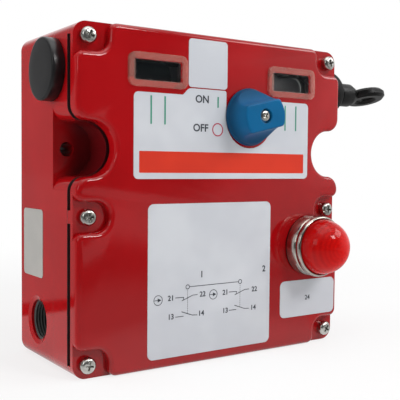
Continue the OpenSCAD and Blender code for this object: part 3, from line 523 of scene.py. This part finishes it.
def lathe(sections, centre, axis, steps=96, closed=False):
    # spins a profile of (distance along the axis, radius) about a level axis
    bm = bmesh.new()
    axis, outward = Vector(axis), Vector((0, 0, 1))
    points = [Vector(centre) + axis * along + outward * radius for along, radius in sections]
    bmesh.ops.spin(bm, geom=outline(bm, points, closed), cent=Vector(centre), axis=axis, angle=2 * pi,
                   steps=steps, use_merge=True)
    bmesh.ops.remove_doubles(bm, verts=bm.verts[:], dist=1e-7)
    bmesh.ops.recalc_face_normals(bm, faces=bm.faces[:])
    return bm


def wind(bm, profile, centre, axis, angle, steps, rise):
    # spins a closed profile along a helix that climbs by rise, and closes its two ends
    bmesh.ops.spin(bm, geom=profile, cent=centre, axis=axis, angle=angle, steps=steps,
                   dvec=Vector(axis) * rise / steps, use_merge=False)
    bmesh.ops.holes_fill(bm, edges=[edge for edge in bm.edges if edge.is_boundary], sides=0)
    bmesh.ops.recalc_face_normals(bm, faces=bm.faces[:])


def thicken(bm, along):
    # gives flat faces a thickness
    grown = bmesh.ops.extrude_face_region(bm, geom=bm.faces[:])
    verts = [part for part in grown["geom"] if isinstance(part, bmesh.types.BMVert)]
    bmesh.ops.translate(bm, verts=verts, vec=along)
    bmesh.ops.recalc_face_normals(bm, faces=bm.faces[:])
    return bm


def plate(corners, along, rounding=()):
    # a flat plate; rounding pairs a radius in mm with the numbers of the corners that it rounds
    bm = bmesh.new()
    rim = [bm.verts.new(corner) for corner in corners]
    bm.faces.new(rim)
    for radius, numbers in rounding:
        for number in numbers:
            bmesh.ops.bevel(bm, geom=[rim[number]], offset=radius * mm, offset_type="OFFSET", segments=8,
                            profile=0.5, affect="VERTICES", material=-1, clamp_overlap=True)
    return thicken(bm, along)


def joined(parts):
    # several bmeshes as one
    bm = bmesh.new()
    for part in parts:
        mesh = bpy.data.meshes.new("part")
        part.to_mesh(mesh)
        part.free()
        bm.from_mesh(mesh)
        bpy.data.meshes.remove(mesh)
    return bm


def islands(bm):
    # groups of connected vertices, from left to right and from the bottom up
    seen, groups = set(), []
    for first in bm.verts:
        if first in seen:
            continue
        seen.add(first)
        group = [first]
        for vert in group:         # grows while it is read
            for edge in vert.link_edges:
                other = edge.other_vert(vert)
                if other not in seen:
                    seen.add(other)
                    group.append(other)
        groups.append(group)
    return sorted(groups, key=lambda group: [round(min(v.co[axis] for v in group), 3) for axis in (0, 2)])


castings = {"smooth": 20, "rounding": 0.35}

base = keep("baseCasting", merged("housing_base"), redPaint, "housing_base", castings["smooth"])
levelNormals(base, castings["smooth"])
soften(keep("coverCasting", merged("cover", True), redPaintCover, "cover"), castings["rounding"])
print("castings dressed")

threadShape = {"crest": 9.15, "root": 9.97, "pitch": 1.5, "from": 1.9, "turns": 7, "steps": 48,
               "foot": 0.96, "land": 0.16}


def conduitThread(shape):
    # the ridge's section, wound along the entry's axis
    _, mouthY, mouthZ = mounts["conduit_entry"]
    start = Vector((leftX + shape["from"] * mm, mouthY, mouthZ))
    half = shape["pitch"] / 2 * mm
    foot, land = half * shape["foot"], half * shape["land"]
    section = [(-foot, shape["root"]), (-land, shape["crest"]), (land, shape["crest"]), (foot, shape["root"])]
    bm = bmesh.new()
    profile = outline(bm, [start + Vector((along, 0, radius * mm)) for along, radius in section])
    wind(bm, profile, start, (1, 0, 0), 2 * pi * shape["turns"], int(shape["turns"] * shape["steps"]),
         shape["pitch"] * shape["turns"] * mm)
    return bm


keep("conduitThread", conduitThread(threadShape), darkThread)
print("conduit thread cut")

coverScrew = {"turns": (12, -8, 20, 35, 8, -15), "recessAt": 45, "smooth": 58, "rounding": 0.1, "limit": 60}


def turnedScrews(shape):
    # every screw stops at its own angle
    bm = merged("cover_screws")
    for group, angle in zip(islands(bm), shape["turns"]):
        middle = sum((v.co for v in group), Vector()) / len(group)
        turn(bm, radians(angle - shape["recessAt"]), "Y", middle, group)
    return bm


screws = keep("coverScrews", turnedScrews(coverScrew), brightSteel, "cover_screws",
              coverScrew["smooth"])
soften(screws, coverScrew["rounding"], 2, coverScrew["limit"])

washerShape = {"outer": 3.6, "inner": 2.25, "split": 14, "tall": 0.86, "offset": 0.12, "steps": 44,
               "spread": 7}


def splitWashers(shape):
    # square wire wound almost all the way round, its ends a little out of line
    low, high, _ = span("screw_washers")
    tall = high.y - low.y
    outer, inner = shape["outer"] * mm, shape["inner"] * mm
    section = [(inner, 0.0), (outer, 0.0), (outer, shape["tall"]), (inner, shape["tall"])]
    parts = []
    whole = merged("screw_washers")
    for group, angle in zip(islands(whole), coverScrew["turns"]):
        middle = [(min(side) + max(side)) / 2 for side in zip(*(v.co for v in group))]
        centre = Vector((middle[0], high.y, middle[2]))
        bm = bmesh.new()
        profile = outline(bm, [centre + Vector((radius, -along * tall, 0)) for radius, along in section])
        wind(bm, profile, centre, (0, -1, 0), radians(360 - shape["split"]), shape["steps"],
             shape["offset"] * tall)
        turn(bm, radians(angle * shape["spread"]), "Y", centre)
        parts.append(bm)
    whole.free()
    return joined(parts)


keep("springWashers", splitWashers(washerShape), brightSteel, "screw_washers")
print("screws and washers set")

windowShape = {"rounding": 0.5, "segments": 3}

for side in ("left", "right"):
    node = side + "_window"
    window = keep(side + "Window", merged(node), windowClear[side], node)
    soften(window, windowShape["rounding"], windowShape["segments"])

entryCap = {"rim": 1.2, "shank": 8.0, "edge": 0.3, "floor": 2.0, "stemGap": 0.1, "smooth": 50}


def capBody(shape):
    # moulded cap with a rounded rim, and its shank through the wall with the stem's bore
    low, high, middle = span("cable_cap")
    stemLow, stemHigh, _ = span("left_stem")
    bore = (stemHigh.z - stemLow.z) / 2 + shape["stemGap"] * mm
    rim, edge, shank = (shape[key] * mm for key in ("rim", "edge", "shank"))
    radius, wide, deep = (high.z - low.z) / 2 - hair, leftX - low.x, high.x - low.x
    floor = wide - shape["floor"] * mm
    sections = [(0.0, 0.0), (0.0, radius / 2), (0.0, radius - rim),
                *arc((rim, radius - rim), rim, rim, -75, 0, 5), (wide - edge, radius),
                (wide - hair, radius - edge), (wide - hair, shank), (deep, shank), (deep, bore),
                (floor, bore), (floor, 0.0)]
    return lathe(sections, (low.x, middle.y, middle.z), (1, 0, 0))


keep("entryCap", capBody(entryCap), blackMoulding, "cable_cap", entryCap["smooth"])
print("windows and cap fitted")

bootShape = {"wall": 2.0, "lip": ((0.0, 0.8), (0.25, 0.2), (0.9, 0.0)), "groove": (3, 4), "grooveDeep": 0.25,
             "tip": 6.9, "tipEdge": 0.6, "bore": 4.4, "boreEdge": 0.1, "boreLong": 4.0,
             "blendFrom": 4.0, "blendTo": 1.0}


def bootSkin(shape):
    # moulded dome with a soft lip at the wall and at its neck, and its inside
    low, high, middle = span("boot")
    wall, tip, bore = (shape[key] * mm for key in ("wall", "tip", "bore"))
    radius, length = (high.z - low.z) / 2 - hair, high.x - low.x
    straight = length - sqrt(radius ** 2 - tip ** 2)
    sections = [(0.0, radius - wall)]
    sections += [(along * mm, radius - inward * mm) for along, inward in shape["lip"]]
    foot = sections[-1][0]
    for step in range(1, 12):
        sunk = shape["grooveDeep"] * mm if step in shape["groove"] else 0
        sections.append((foot + (straight - foot) * step / 12, radius - sunk))
    for step in range(21):
        along = (length - straight) * step / 20
        sections.append((straight + along, sqrt(max(radius ** 2 - along ** 2, tip ** 2))))
    sections += [(length, tip - shape["tipEdge"] * mm), (length - shape["boreEdge"] * mm, bore)]
    throat = length - shape["boreLong"] * mm
    for step in range(10):
        sections.append((throat - (throat - straight) * step / 9, bore + (radius - wall - bore) * step / 9))
    return lathe(sections, (low.x, middle.y, middle.z), (1, 0, 0), closed=True)


boot = keep("rubberBoot", bootSkin(bootShape), blackRubber, "boot", body=None)
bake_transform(boot)

eyeShape = {"rounding": 0.7, "segments": 3, "limit": 30}
eye = keep("pullEye", merged("pull_eye"), satinBlack, "pull_eye", body="pull_unit")
soften(eye, eyeShape["rounding"], eyeShape["segments"], eyeShape["limit"])
print("boot and eye made")

springShape = {"turns": 9, "wire": 0.6, "sides": 12, "steps": 32}


def returnSpring(shape):
    # a round wire, wound along the pull shaft
    low, high, middle = span("pull_spring")
    wire = shape["wire"] * mm
    start = Vector((low.x + wire, middle.y, middle.z))
    bm = bmesh.new()
    bmesh.ops.create_circle(bm, cap_ends=False, radius=wire, segments=shape["sides"])
    turn(bm, radians(90), "X")
    bmesh.ops.translate(bm, verts=bm.verts[:], vec=start + Vector((0, 0, (high.z - low.z) / 2 - wire)))
    wind(bm, bm.verts[:] + bm.edges[:], start, (1, 0, 0), 2 * pi * shape["turns"],
         shape["turns"] * shape["steps"], high.x - low.x - 2 * wire)
    return bm


spring = keep("returnSpring", returnSpring(springShape), springSteel, "pull_spring")
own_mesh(spring)

sleeveEdge = {"wide": 0.7, "stands": 0.2, "deep": 0.3}


def edgeRing(shape):
    # edge at the sleeve's end, seen through the right window, painted bright and glowing as painted light
    low, high, middle = span("spring_sleeve")
    radius, wide = (high.z - low.z) / 2, shape["wide"] * mm
    inside, outside = radius - shape["deep"] * mm, radius + shape["stands"] * mm
    sections = [(-wide, inside), (-wide, radius), (-wide * 0.7, outside), (-wide * 0.3, outside),
                (0.0, radius), (0.0, inside)]
    return lathe(sections, (high.x, middle.y, middle.z), (1, 0, 0), closed=True)


keep("sleeveEdge", edgeRing(sleeveEdge), edgeLit)
print("spring wound")

knobShape = {
    "grip": 14.0, "scoop": 12.0, "turn": 13, "edge": 0.9, "clear": 0.03,
    "skirt": 2.0, "straight": 1.2, "foot": ((0.0, 0.5), (0.25, 0.12), (0.6, 0.0)), "skirtDraft": 0.7,
    "gripDraft": 1.5, "scoopSteps": 24, "blend": 26,
    "recess": 3.6, "recessEdge": 0.25, "sink": 2.4, "bore": 1.9, "hollow": 10.0, "hollowTall": 3.0,
    "round": 0.3,      # this far about the recess the crown stays round
    "crown": (0.85, 0.7, 0.55, 0.4, 0.25, 0.1), "smooth": 50,
}


def knobBody(shape):
    # a lathed disc whose flanks are then squeezed in to leave the grip; its sizes are in mm until it is spun
    low, high, middle = span("reset_knob")
    skirt, straight, scoop, edge = (shape[key] for key in ("skirt", "straight", "scoop", "edge"))
    recess, bore, hollow, tall = (shape[key] for key in ("recess", "bore", "hollow", "hollowTall"))
    rim = (high.x - low.x) / 2 / mm - shape["clear"]
    top = (high.y - low.y) / mm - shape["clear"]
    shoulder = top - edge
    same = 0.02       # vertices this near to a height belong to its row

    def disc(along):
        # the disc's radius, which narrows a little over its skirt and then towards its top
        if along < skirt:
            return rim - shape["skirtDraft"] * max(along - straight, 0.0) / (skirt - straight)
        return rim - shape["skirtDraft"] - shape["gripDraft"] * (along - skirt) / (top - skirt)

    def flank(along):
        # half the grip's width at a height over the skirt
        lift = min(along - skirt, scoop)
        return shape["grip"] / 2 + scoop - sqrt(scoop ** 2 - (scoop - lift) ** 2)

    rows = [(along, rim - inward) for along, inward in shape["foot"]]
    rows += [(along, disc(along)) for along in (straight, (straight + skirt) / 2, skirt - same)]
    for step in range(1, shape["scoopSteps"] + 1):
        along = skirt + scoop * (1 - cos(pi / 2 * step / shape["scoopSteps"]))
        if along < shoulder:
            rows.append((along, disc(along)))
    rows.append((shoulder, disc(shoulder)))
    rows += [(along, disc(along) + inward) for along, inward in arc((shoulder, -edge), edge, edge, 15, 90, 5)]
    crown = rows[-1][1]
    inner = [(top, recess + (crown - recess) * part) for part in shape["crown"]]
    sunk = top - shape["sink"]
    well = [(top, recess + shape["recessEdge"]), (top - shape["recessEdge"], recess), (sunk, recess),
            (sunk, bore), (tall, bore), (tall, hollow), (0.0, hollow)]
    centre = Vector((middle.x, high.y, middle.z))
    bm = lathe([(along * mm, radius * mm) for along, radius in rows + inner + well], centre, (0, -1, 0), 192,
               closed=True)
    heights = {round(along, 3): radius for along, radius in rows}
    for vert in bm.verts:
        along = (high.y - vert.co.y) / mm
        across, rise = (vert.co.x - middle.x) / mm, (vert.co.z - middle.z) / mm
        distance = hypot(across, rise)
        row = min(heights, key=lambda value: abs(value - along))
        if abs(row - along) > same or distance < recess + shape["round"] or along < skirt:
            continue
        full = heights[row]
        # the grip's top edge is rounded by as much as the disc's
        over = max(along - shoulder, 0.0) / edge
        shrunk = edge * (1 - sqrt(max(1 - over ** 2, 0.0)))
        limit = (flank(min(along, shoulder)) - shrunk) / max(abs(rise) / distance, 1e-4)
        wanted = (full ** -shape["blend"] + limit ** -shape["blend"]) ** (-1 / shape["blend"])
        share = 1.0 if distance > full - same / 2 else (distance - recess) / (full - recess)
        scale = 1 + (wanted / full - 1) * share
        vert.co.x = middle.x + across * scale * mm
        vert.co.z = middle.z + rise * scale * mm
    turn(bm, radians(-shape["turn"]), "Y", centre)
    return bm


keep("resetKnob", knobBody(knobShape), knobBlue, "reset_knob", knobShape["smooth"], "knob_unit")
knobScrew = keep("knobScrew", merged("knob_screw"), brightSteel, "knob_screw",
                 coverScrew["smooth"], "knob_unit")
soften(knobScrew, coverScrew["rounding"], 2, coverScrew["limit"])
print("knob made")

collarShape = {
    "outer": 16.7, "inner": 14.8, "hole": 11.1, "edge": 0.3, "smooth": 50,
    # shares of the height, with how far in from the outside
    "flank": ((0.2, 0.25), (0.5, 0.7), (0.56, 1.0), (0.60, 1.35), (0.64, 1.2)),
    "bead": 0.19, "beadAt": 0.8, "beadIn": 1.35, "beadFlat": 0.55, "beadFrom": -70, "beadTo": 90,
    "mouth": ((0.5, 0.25), (0.9, 0.0)), "ledge": 0.46,
}


def lampCollar(shape):
    # turned ring with a rolled bead that holds the lens
    low, high, middle = span("lamp_bezel")
    tall = high.y - low.y
    outer, inner = shape["outer"] * mm - hair, shape["inner"] * mm
    hole, edge = shape["hole"] * mm, shape["edge"] * mm
    bead, ledge = tall * shape["bead"], tall * shape["ledge"]
    sections = [(0.0, hole), (0.0, outer - edge), (edge, outer)]
    sections += [(tall * share, outer - inward * mm) for share, inward in shape["flank"]]
    sections += arc((tall * shape["beadAt"], outer - shape["beadIn"] * mm), bead, bead * shape["beadFlat"],
                    shape["beadFrom"], shape["beadTo"], 12)
    sections += [(tall - down * mm, inner + outward * mm) for down, outward in shape["mouth"]]
    sections += [(ledge, inner), (ledge, hole)]
    return lathe(sections, (middle.x, high.y, middle.z), (0, -1, 0), 128, closed=True)


keep("lampCollar", lampCollar(collarShape), chromeMetal, "lamp_bezel", collarShape["smooth"])

lensShape = {"wall": 2.0, "steps": 24, "smooth": 50}


def lampLens(shape):
    # a hollow dome on a short skirt
    low, high, middle = span("lamp_lens")
    radius = (high.x - low.x) / 2 - hair
    hollow = radius - shape["wall"] * mm
    skirt = (high.y - low.y) - radius
    first, steps = 90 / shape["steps"], shape["steps"] - 1
    sections = [(0.0, hollow), (0.0, radius), (skirt, radius),
                *arc((skirt, 0.0), radius, radius, first, 90, steps),
                *arc((skirt, 0.0), hollow, hollow, 90, first, steps)]
    return lathe(sections, (middle.x, high.y, middle.z), (0, -1, 0), closed=True)


keep("lampLens", lampLens(lensShape), lensRed, "lamp_lens", lensShape["smooth"])
print("lamp made")


def rectangle(left, bottom, right, top):
    return [(left, bottom), (right, bottom), (right, top), (left, top)]


def onFront(points, y):
    # points of the front, in mm across and up, at a depth y
    return [(x * mm, y, z * mm) for x, z in points]


labels = {
    "thick": 0.22, "ink": 0.05,
    "plates": {      # corners, and the radii of the corners that are rounded
        "mainLabel": ([(-51.7, 10.3), (56, 10.3), (56, 50.8), (30.6, 50.8), (30.6, 25.9), (1.0, 25.9),
                       (1.0, 54.2), (-21.3, 54.2), (-24.7, 50.8), (-51.7, 50.8)],
                      [(2.4, (0, 1, 2, 9)), (1.2, (3, 6, 7)), (14.6, (4, 5))]),
        "topLabel": (rectangle(-21.6, 54.8, 1.5, 78.2), [(1.8, range(4))]),
        "lowerLabel": (rectangle(-43.8, -76.1, 30.5, -1.6), [(3.0, range(4))]),
        "lampLabel": (rectangle(38.0, -64.8, 77.5, -45.0), [(3.0, range(4))])},
    "banner": (rectangle(-48.8, 13.2, 53.0, 23.4), [(0.4, range(4))]),
}
labelTop = frontY - labels["thick"] * mm
ink = labels["ink"] * mm

for name, (corners, rounding) in labels["plates"].items():
    film = plate(onFront(corners, frontY + hair), (0, -labels["thick"] * mm, 0), rounding)
    keep(name, film, labelFilm)
corners, rounding = labels["banner"]
keep("labelBanner", plate(onFront(corners, labelTop + hair), (0, -ink, 0), rounding), bannerFilm)

sideLabel = {"yz": rectangle(-31.5, -39.0, -6.5, -5.4), "radius": 2.2}
corners = [(leftX + hair, y * mm, z * mm) for y, z in sideLabel["yz"]]
film = plate(corners, (-labels["thick"] * mm, 0, 0), [(sideLabel["radius"], range(4))])
keep("sideLabel", film, sideFilm)


def lettering(word, height, middle):
    # a word on the front, its middle at (x, z) in mm
    curve = bpy.data.curves.new("word", "FONT")
    curve.body = word
    curve.size = height * mm / 0.72       # the font's capitals are 0.72 of its size
    curve.align_x = "CENTER"
    curve.align_y = "CENTER"
    curve.resolution_u = 4
    curve.offset = height * mm * 0.03     # a little bolder
    holder = bpy.data.objects.new("word", curve)
    scene.collection.objects.link(holder)
    bpy.context.view_layer.update()
    mesh = bpy.data.meshes.new_from_object(holder.evaluated_get(bpy.context.evaluated_depsgraph_get()))
    bpy.data.objects.remove(holder)
    bm = bmesh.new()
    bm.from_mesh(mesh)
    bpy.data.meshes.remove(mesh)
    bmesh.ops.remove_doubles(bm, verts=bm.verts[:], dist=1e-6)
    turn(bm, radians(90), "X")
    bmesh.ops.translate(bm, verts=bm.verts[:], vec=onFront([middle], labelTop)[0])
    return thicken(bm, (0, -ink, 0))


def stroke(points, width):
    # printed line through points in x and z
    parts = []
    for (ax, az), (bx, bz) in zip(points, points[1:]):
        bm = bmesh.new()
        bmesh.ops.create_cube(bm, size=1.0)
        bmesh.ops.scale(bm, verts=bm.verts[:], vec=(hypot(bx - ax, bz - az) * mm, ink, width * mm))
        turn(bm, -atan2(bz - az, bx - ax), "Y")
        middle = onFront([((ax + bx) / 2, (az + bz) / 2)], labelTop - ink / 2)[0]
        bmesh.ops.translate(bm, verts=bm.verts[:], vec=middle)
        parts.append(bm)
    return joined(parts)


def ring(middle, outer, inner, steps=40):
    # printed ring about a point in x and z
    return lathe([(0, inner * mm), (ink, inner * mm), (ink, outer * mm), (0, outer * mm)],
                 onFront([middle], labelTop)[0], (0, -1, 0), steps, closed=True)


printed = {
    "green": [((-42.5, 36.1), (-42.5, 49.4)), ((-34.9, 36.1), (-34.9, 49.4)),
              ((39.7, 35.8), (39.7, 49.0)), ((47.2, 35.8), (47.2, 49.0)), ((-4.1, 45.6), (-4.1, 50.9))],
    "line": 0.85,
    "offRing": ((-4.2, 34.7), 3.3, 2.75, 64),
    "words": {         # by height
        3.7: [("ON", (-13.6, 49.1)), ("OFF", (-14.4, 35.1))],
        3.2: [("1", (-13.0, -37.0)), ("2", (26.5, -37.0))],
        2.6: [("21", (-30.9, -47.3)), ("13", (-30.9, -56.4)), ("22", (-12.4, -46.9)), ("14", (-13.2, -56.4)),
              ("21", (1.6, -47.3)), ("13", (1.6, -56.6)), ("22", (20.3, -47.2)), ("14", (19.6, -56.8)),
              ("24", (57.5, -55.0))]},
}

contacts = {
    "shifts": (0.0, 32.2),       # the second changeover stands this far to the right of the first
    "lines": [(0.32, [(-28.4, -47.3), (-23.5, -47.4), (-23.8, -48.6)]),
              (0.32, [(-24.7, -49.1), (-21.3, -47.9), (-18.2, -46.8), (-15.4, -46.8)]),
              (0.32, [(-28.3, -56.7), (-23.6, -56.7)]),
              (0.32, [(-24.8, -54.4), (-21.2, -55.7), (-18.4, -56.7), (-15.5, -56.9)]),
              (0.3, [(-40.2, -47.6), (-37.6, -47.6)])],
    "arrow": [(-38.3, -48.6), (-36.3, -47.6), (-38.3, -46.6)],
    "rings": [((-21.3, -42.5), 1.2, 0.85), ((-38.1, -47.6), 2.5, 2.2)],
    "rod": (-21.3, -44.2), "dashes": 12, "dash": 0.6, "pitch": 0.98, "rodLine": 0.2,
    "bridge": (0.32, [(-20.1, -42.5), (10.1, -42.5)]),
}


def diagram(shape):
    # two changeovers, each a bridged pair over an open pair with the rod that works them
    width, line = shape["bridge"]
    parts = [stroke(line, width)]
    for shift in shape["shifts"]:
        for width, line in shape["lines"]:
            parts.append(stroke([(x + shift, z) for x, z in line], width))
        for (x, z), outer, inner in shape["rings"]:
            parts.append(ring((x + shift, z), outer, inner))
        x, z = shape["rod"]
        for step in range(shape["dashes"]):
            low = z - step * shape["pitch"]
            parts.append(stroke([(x + shift, low), (x + shift, low - shape["dash"])], shape["rodLine"]))
        parts.append(plate(onFront([(x + shift, z) for x, z in shape["arrow"]], labelTop), (0, -ink, 0)))
    return joined(parts)


green = joined([stroke(line, printed["line"]) for line in printed["green"]])
keep("greenMarks", green, greenInk)
keep("offRing", ring(*printed["offRing"]), redInk)
words = [lettering(word, height, middle)
         for height, row in printed["words"].items() for word, middle in row]
keep("labelWords", joined(words), darkInk)
keep("contactDiagram", diagram(contacts), darkInk)
print("labels laid")

# finishes of the parts that keep their own shape
plain = {
    brightSteel: ("cap_nut", "left_stem", "chassis_posts", "chassis_screws", "switch_screws", "knob_nut",
                  "lamp_nut", "latch_posts", "pull_shaft", "cam_pin", "knob_spindle"),
    blackRubber: ("cover_gasket", "spindle_seal", "lamp_gasket"), turnedSteel: ("shaft_bushing",),
    springSteel: ("bushing_clip", "drum_clip"), sheetSteel: ("chassis_plate", "latch_slide"),
    brassMetal: ("terminal_screws", "knob_bushing"), zincCasting: ("left_cam", "cam_block", "reset_cam"),
    blackMoulding: ("left_switch", "right_switch", "lamp_body"), darkMoulding: ("left_indicator",),
    creamMoulding: ("left_plunger", "right_plunger"), sleeveGrey: ("right_indicator", "spring_sleeve"),
    ledPlastic: ("lamp_led",), greenPaint: ("ground_screw",),
}
for material, names in plain.items():
    for name in names:
        held = nodes[name].data.materials
        held.clear()
        held.append(material)
print("inner parts finished:", sum(len(names) for names in plain.values()))

# for ease: (from, to), or (from, to, level at from, level at to)
ground = {
    "tint": (0.91, 0.91, 0.91, 1), "half": 6.0, "under": 0.1,
    "shadow": (0.15, 0.5, 0.75, 1.0),      # keeps the shadow near the object
    # behind the left side, gloss meets a bright sheet with a dark edge
    "leftX": (0.0, 0.06), "leftY": (-0.06, 0.0),
    "sheet": (0.08, 0.087, 0.5, 0.02), "beyond": (0.118, 0.132, 0.0, 0.26),
    "near": (0.1, 0.17, 0.45, 0.0), "around": (0.2, 0.42, 0.45, 0.1), "right": (0.1, 0.35, 0.0, 0.6),
}
studio = {
    "world": 0.37,
    "window": 5.4, "windowX": (0.1, 0.7), "windowY": (-0.35, 0.15), "windowZ": (0.15, 0.55, 1.0, 0.0),
    "room": 0.08, "leftBack": 0.15, "leftBackY": (0.2, 0.8), "behindX": (-0.25, 0.15), "behindY": (0.0, 0.5),
    "rightSide": (0.42, 0.8, 0.0, 0.82), "ceiling": (0.45, 0.95, 0.0, 0.9),
}


def floorFinish():
    finish = Finish("pale floor")
    path, gloss = finish.rays()
    away = (finish.x ** 2 + finish.y ** 2) ** 0.5
    left = (0 - finish.x).ease(*ground["leftX"]) * finish.y.ease(*ground["leftY"])
    sheet = finish.y.ease(*ground["sheet"]) + finish.y.ease(*ground["beyond"])
    near = away.ease(*ground["near"]) + away.ease(*ground["around"])
    front = near.upper(finish.x.ease(*ground["right"]))
    level = path + gloss * (left * sheet + (1 - left) * front)
    seen = path * away.ease(*ground["shadow"]) + gloss
    matt = finish.add("ShaderNodeBsdfDiffuse", {"Color": ground["tint"]}, "BSDF")
    unlit, white = (finish.add("ShaderNodeEmission", {"Strength": power}, "Emission") for power in (0.0, 1.0))
    glow = finish.add("ShaderNodeMixShader", {0: level, 1: unlit, 2: white})
    both = finish.add("ShaderNodeMixShader", {0: seen, 1: matt, 2: glow})
    finish.add("ShaderNodeOutputMaterial", {"Surface": both})
    return finish.holder


bm = bmesh.new()
bmesh.ops.create_grid(bm, x_segments=1, y_segments=1, size=ground["half"])
bmesh.ops.translate(bm, verts=bm.verts[:], vec=(0, 0, cadBox[0][2] - ground["under"] * mm))
mesh = bpy.data.meshes.new("floor")
bm.to_mesh(mesh)
bm.free()
mesh.materials.append(floorFinish())
floor = bpy.data.objects.new("floor", mesh)
scene.collection.objects.link(floor)

# gloss meets the white background behind, a bright right side and ceiling, and a darker room elsewhere;
# what is matt is lit by an even level and by a broad window on the left
scene.world = bpy.data.worlds.new("studio")
sky = Finish("studio", scene.world)
path, gloss = sky.rays()
direction = sky.add("ShaderNodeTexCoord", out="Generated")
aside, toward, rise = (sky.split(direction, axis) for axis in "XYZ")
behind = toward.ease(*studio["behindY"]) * aside.ease(*studio["behindX"])
bright = aside.ease(*studio["rightSide"]).upper(rise.ease(*studio["ceiling"])).upper(behind)
room = studio["room"] + studio["leftBack"] * toward.ease(*studio["leftBackY"])
window = (0 - aside).ease(*studio["windowX"]) * toward.ease(*studio["windowY"])
window = window * rise.ease(*studio["windowZ"])
soft = studio["world"] + studio["window"] * window
level = soft * (1 - gloss) + gloss * (room + (1 - room) * bright)
shown = {"Color": (1, 1, 1, 1), "Strength": level * (1 - path) + path}
sky.add("ShaderNodeOutputWorld", {"Surface": sky.add("ShaderNodeBackground", shown, "Background")})

lamps = {       # where it stands, what it is turned to, how wide and tall it is, in m, and its watts
    "keyBox": ((0.24, -0.74, 0.56), (0, -0.04, 0), 0.24, 0.2, 2.6),
    "nearBox": ((0.5, -0.36, 0.44), (0.04, -0.07, 0), 0.42, 0.24, 1.5),
    "sideBox": ((-1.0, -0.35, 0.45), (0, -0.04, 0), 0.35, 0.5, 1.0),
    "topBox": ((0.0, -0.2, 1.1), (0, -0.04, 0), 1.0, 0.8, 3),
}
for name, (place, aim, wide, tall, watts) in lamps.items():
    lamp = bpy.data.lights.new(name, "AREA")
    lamp.shape = "RECTANGLE"
    lamp.size, lamp.size_y, lamp.energy = wide, tall, watts
    holder = bpy.data.objects.new(name, lamp)
    holder.location = place
    holder.rotation_euler = (Vector(aim) - Vector(place)).to_track_quat("-Z", "Y").to_euler()
    scene.collection.objects.link(holder)

viewpoint = {"place": (-0.215196, -0.365800, 0.016147), "yaw": 0.5973587, "pitch": 0.0454395,
             "roll": 0.0088793, "lens": 65.39, "sensor": 36, "nearest": 0.01, "farthest": 20}

lens = bpy.data.cameras.new("camera")
lens.lens, lens.sensor_width = viewpoint["lens"], viewpoint["sensor"]
lens.clip_start, lens.clip_end = viewpoint["nearest"], viewpoint["farthest"]
camera = bpy.data.objects.new("camera", lens)
stand = Matrix.Translation(viewpoint["place"])
# yaw to the right, pitch down, roll about the view
for angle, axis in ((-viewpoint["yaw"], "Z"), (pi / 2 - viewpoint["pitch"], "X"), (viewpoint["roll"], "Z")):
    stand = stand @ Matrix.Rotation(angle, 4, axis)
camera.matrix_world = stand
scene.collection.objects.link(camera)
scene.camera = camera
scene.view_settings.view_transform = "Standard"
print("studio lit")
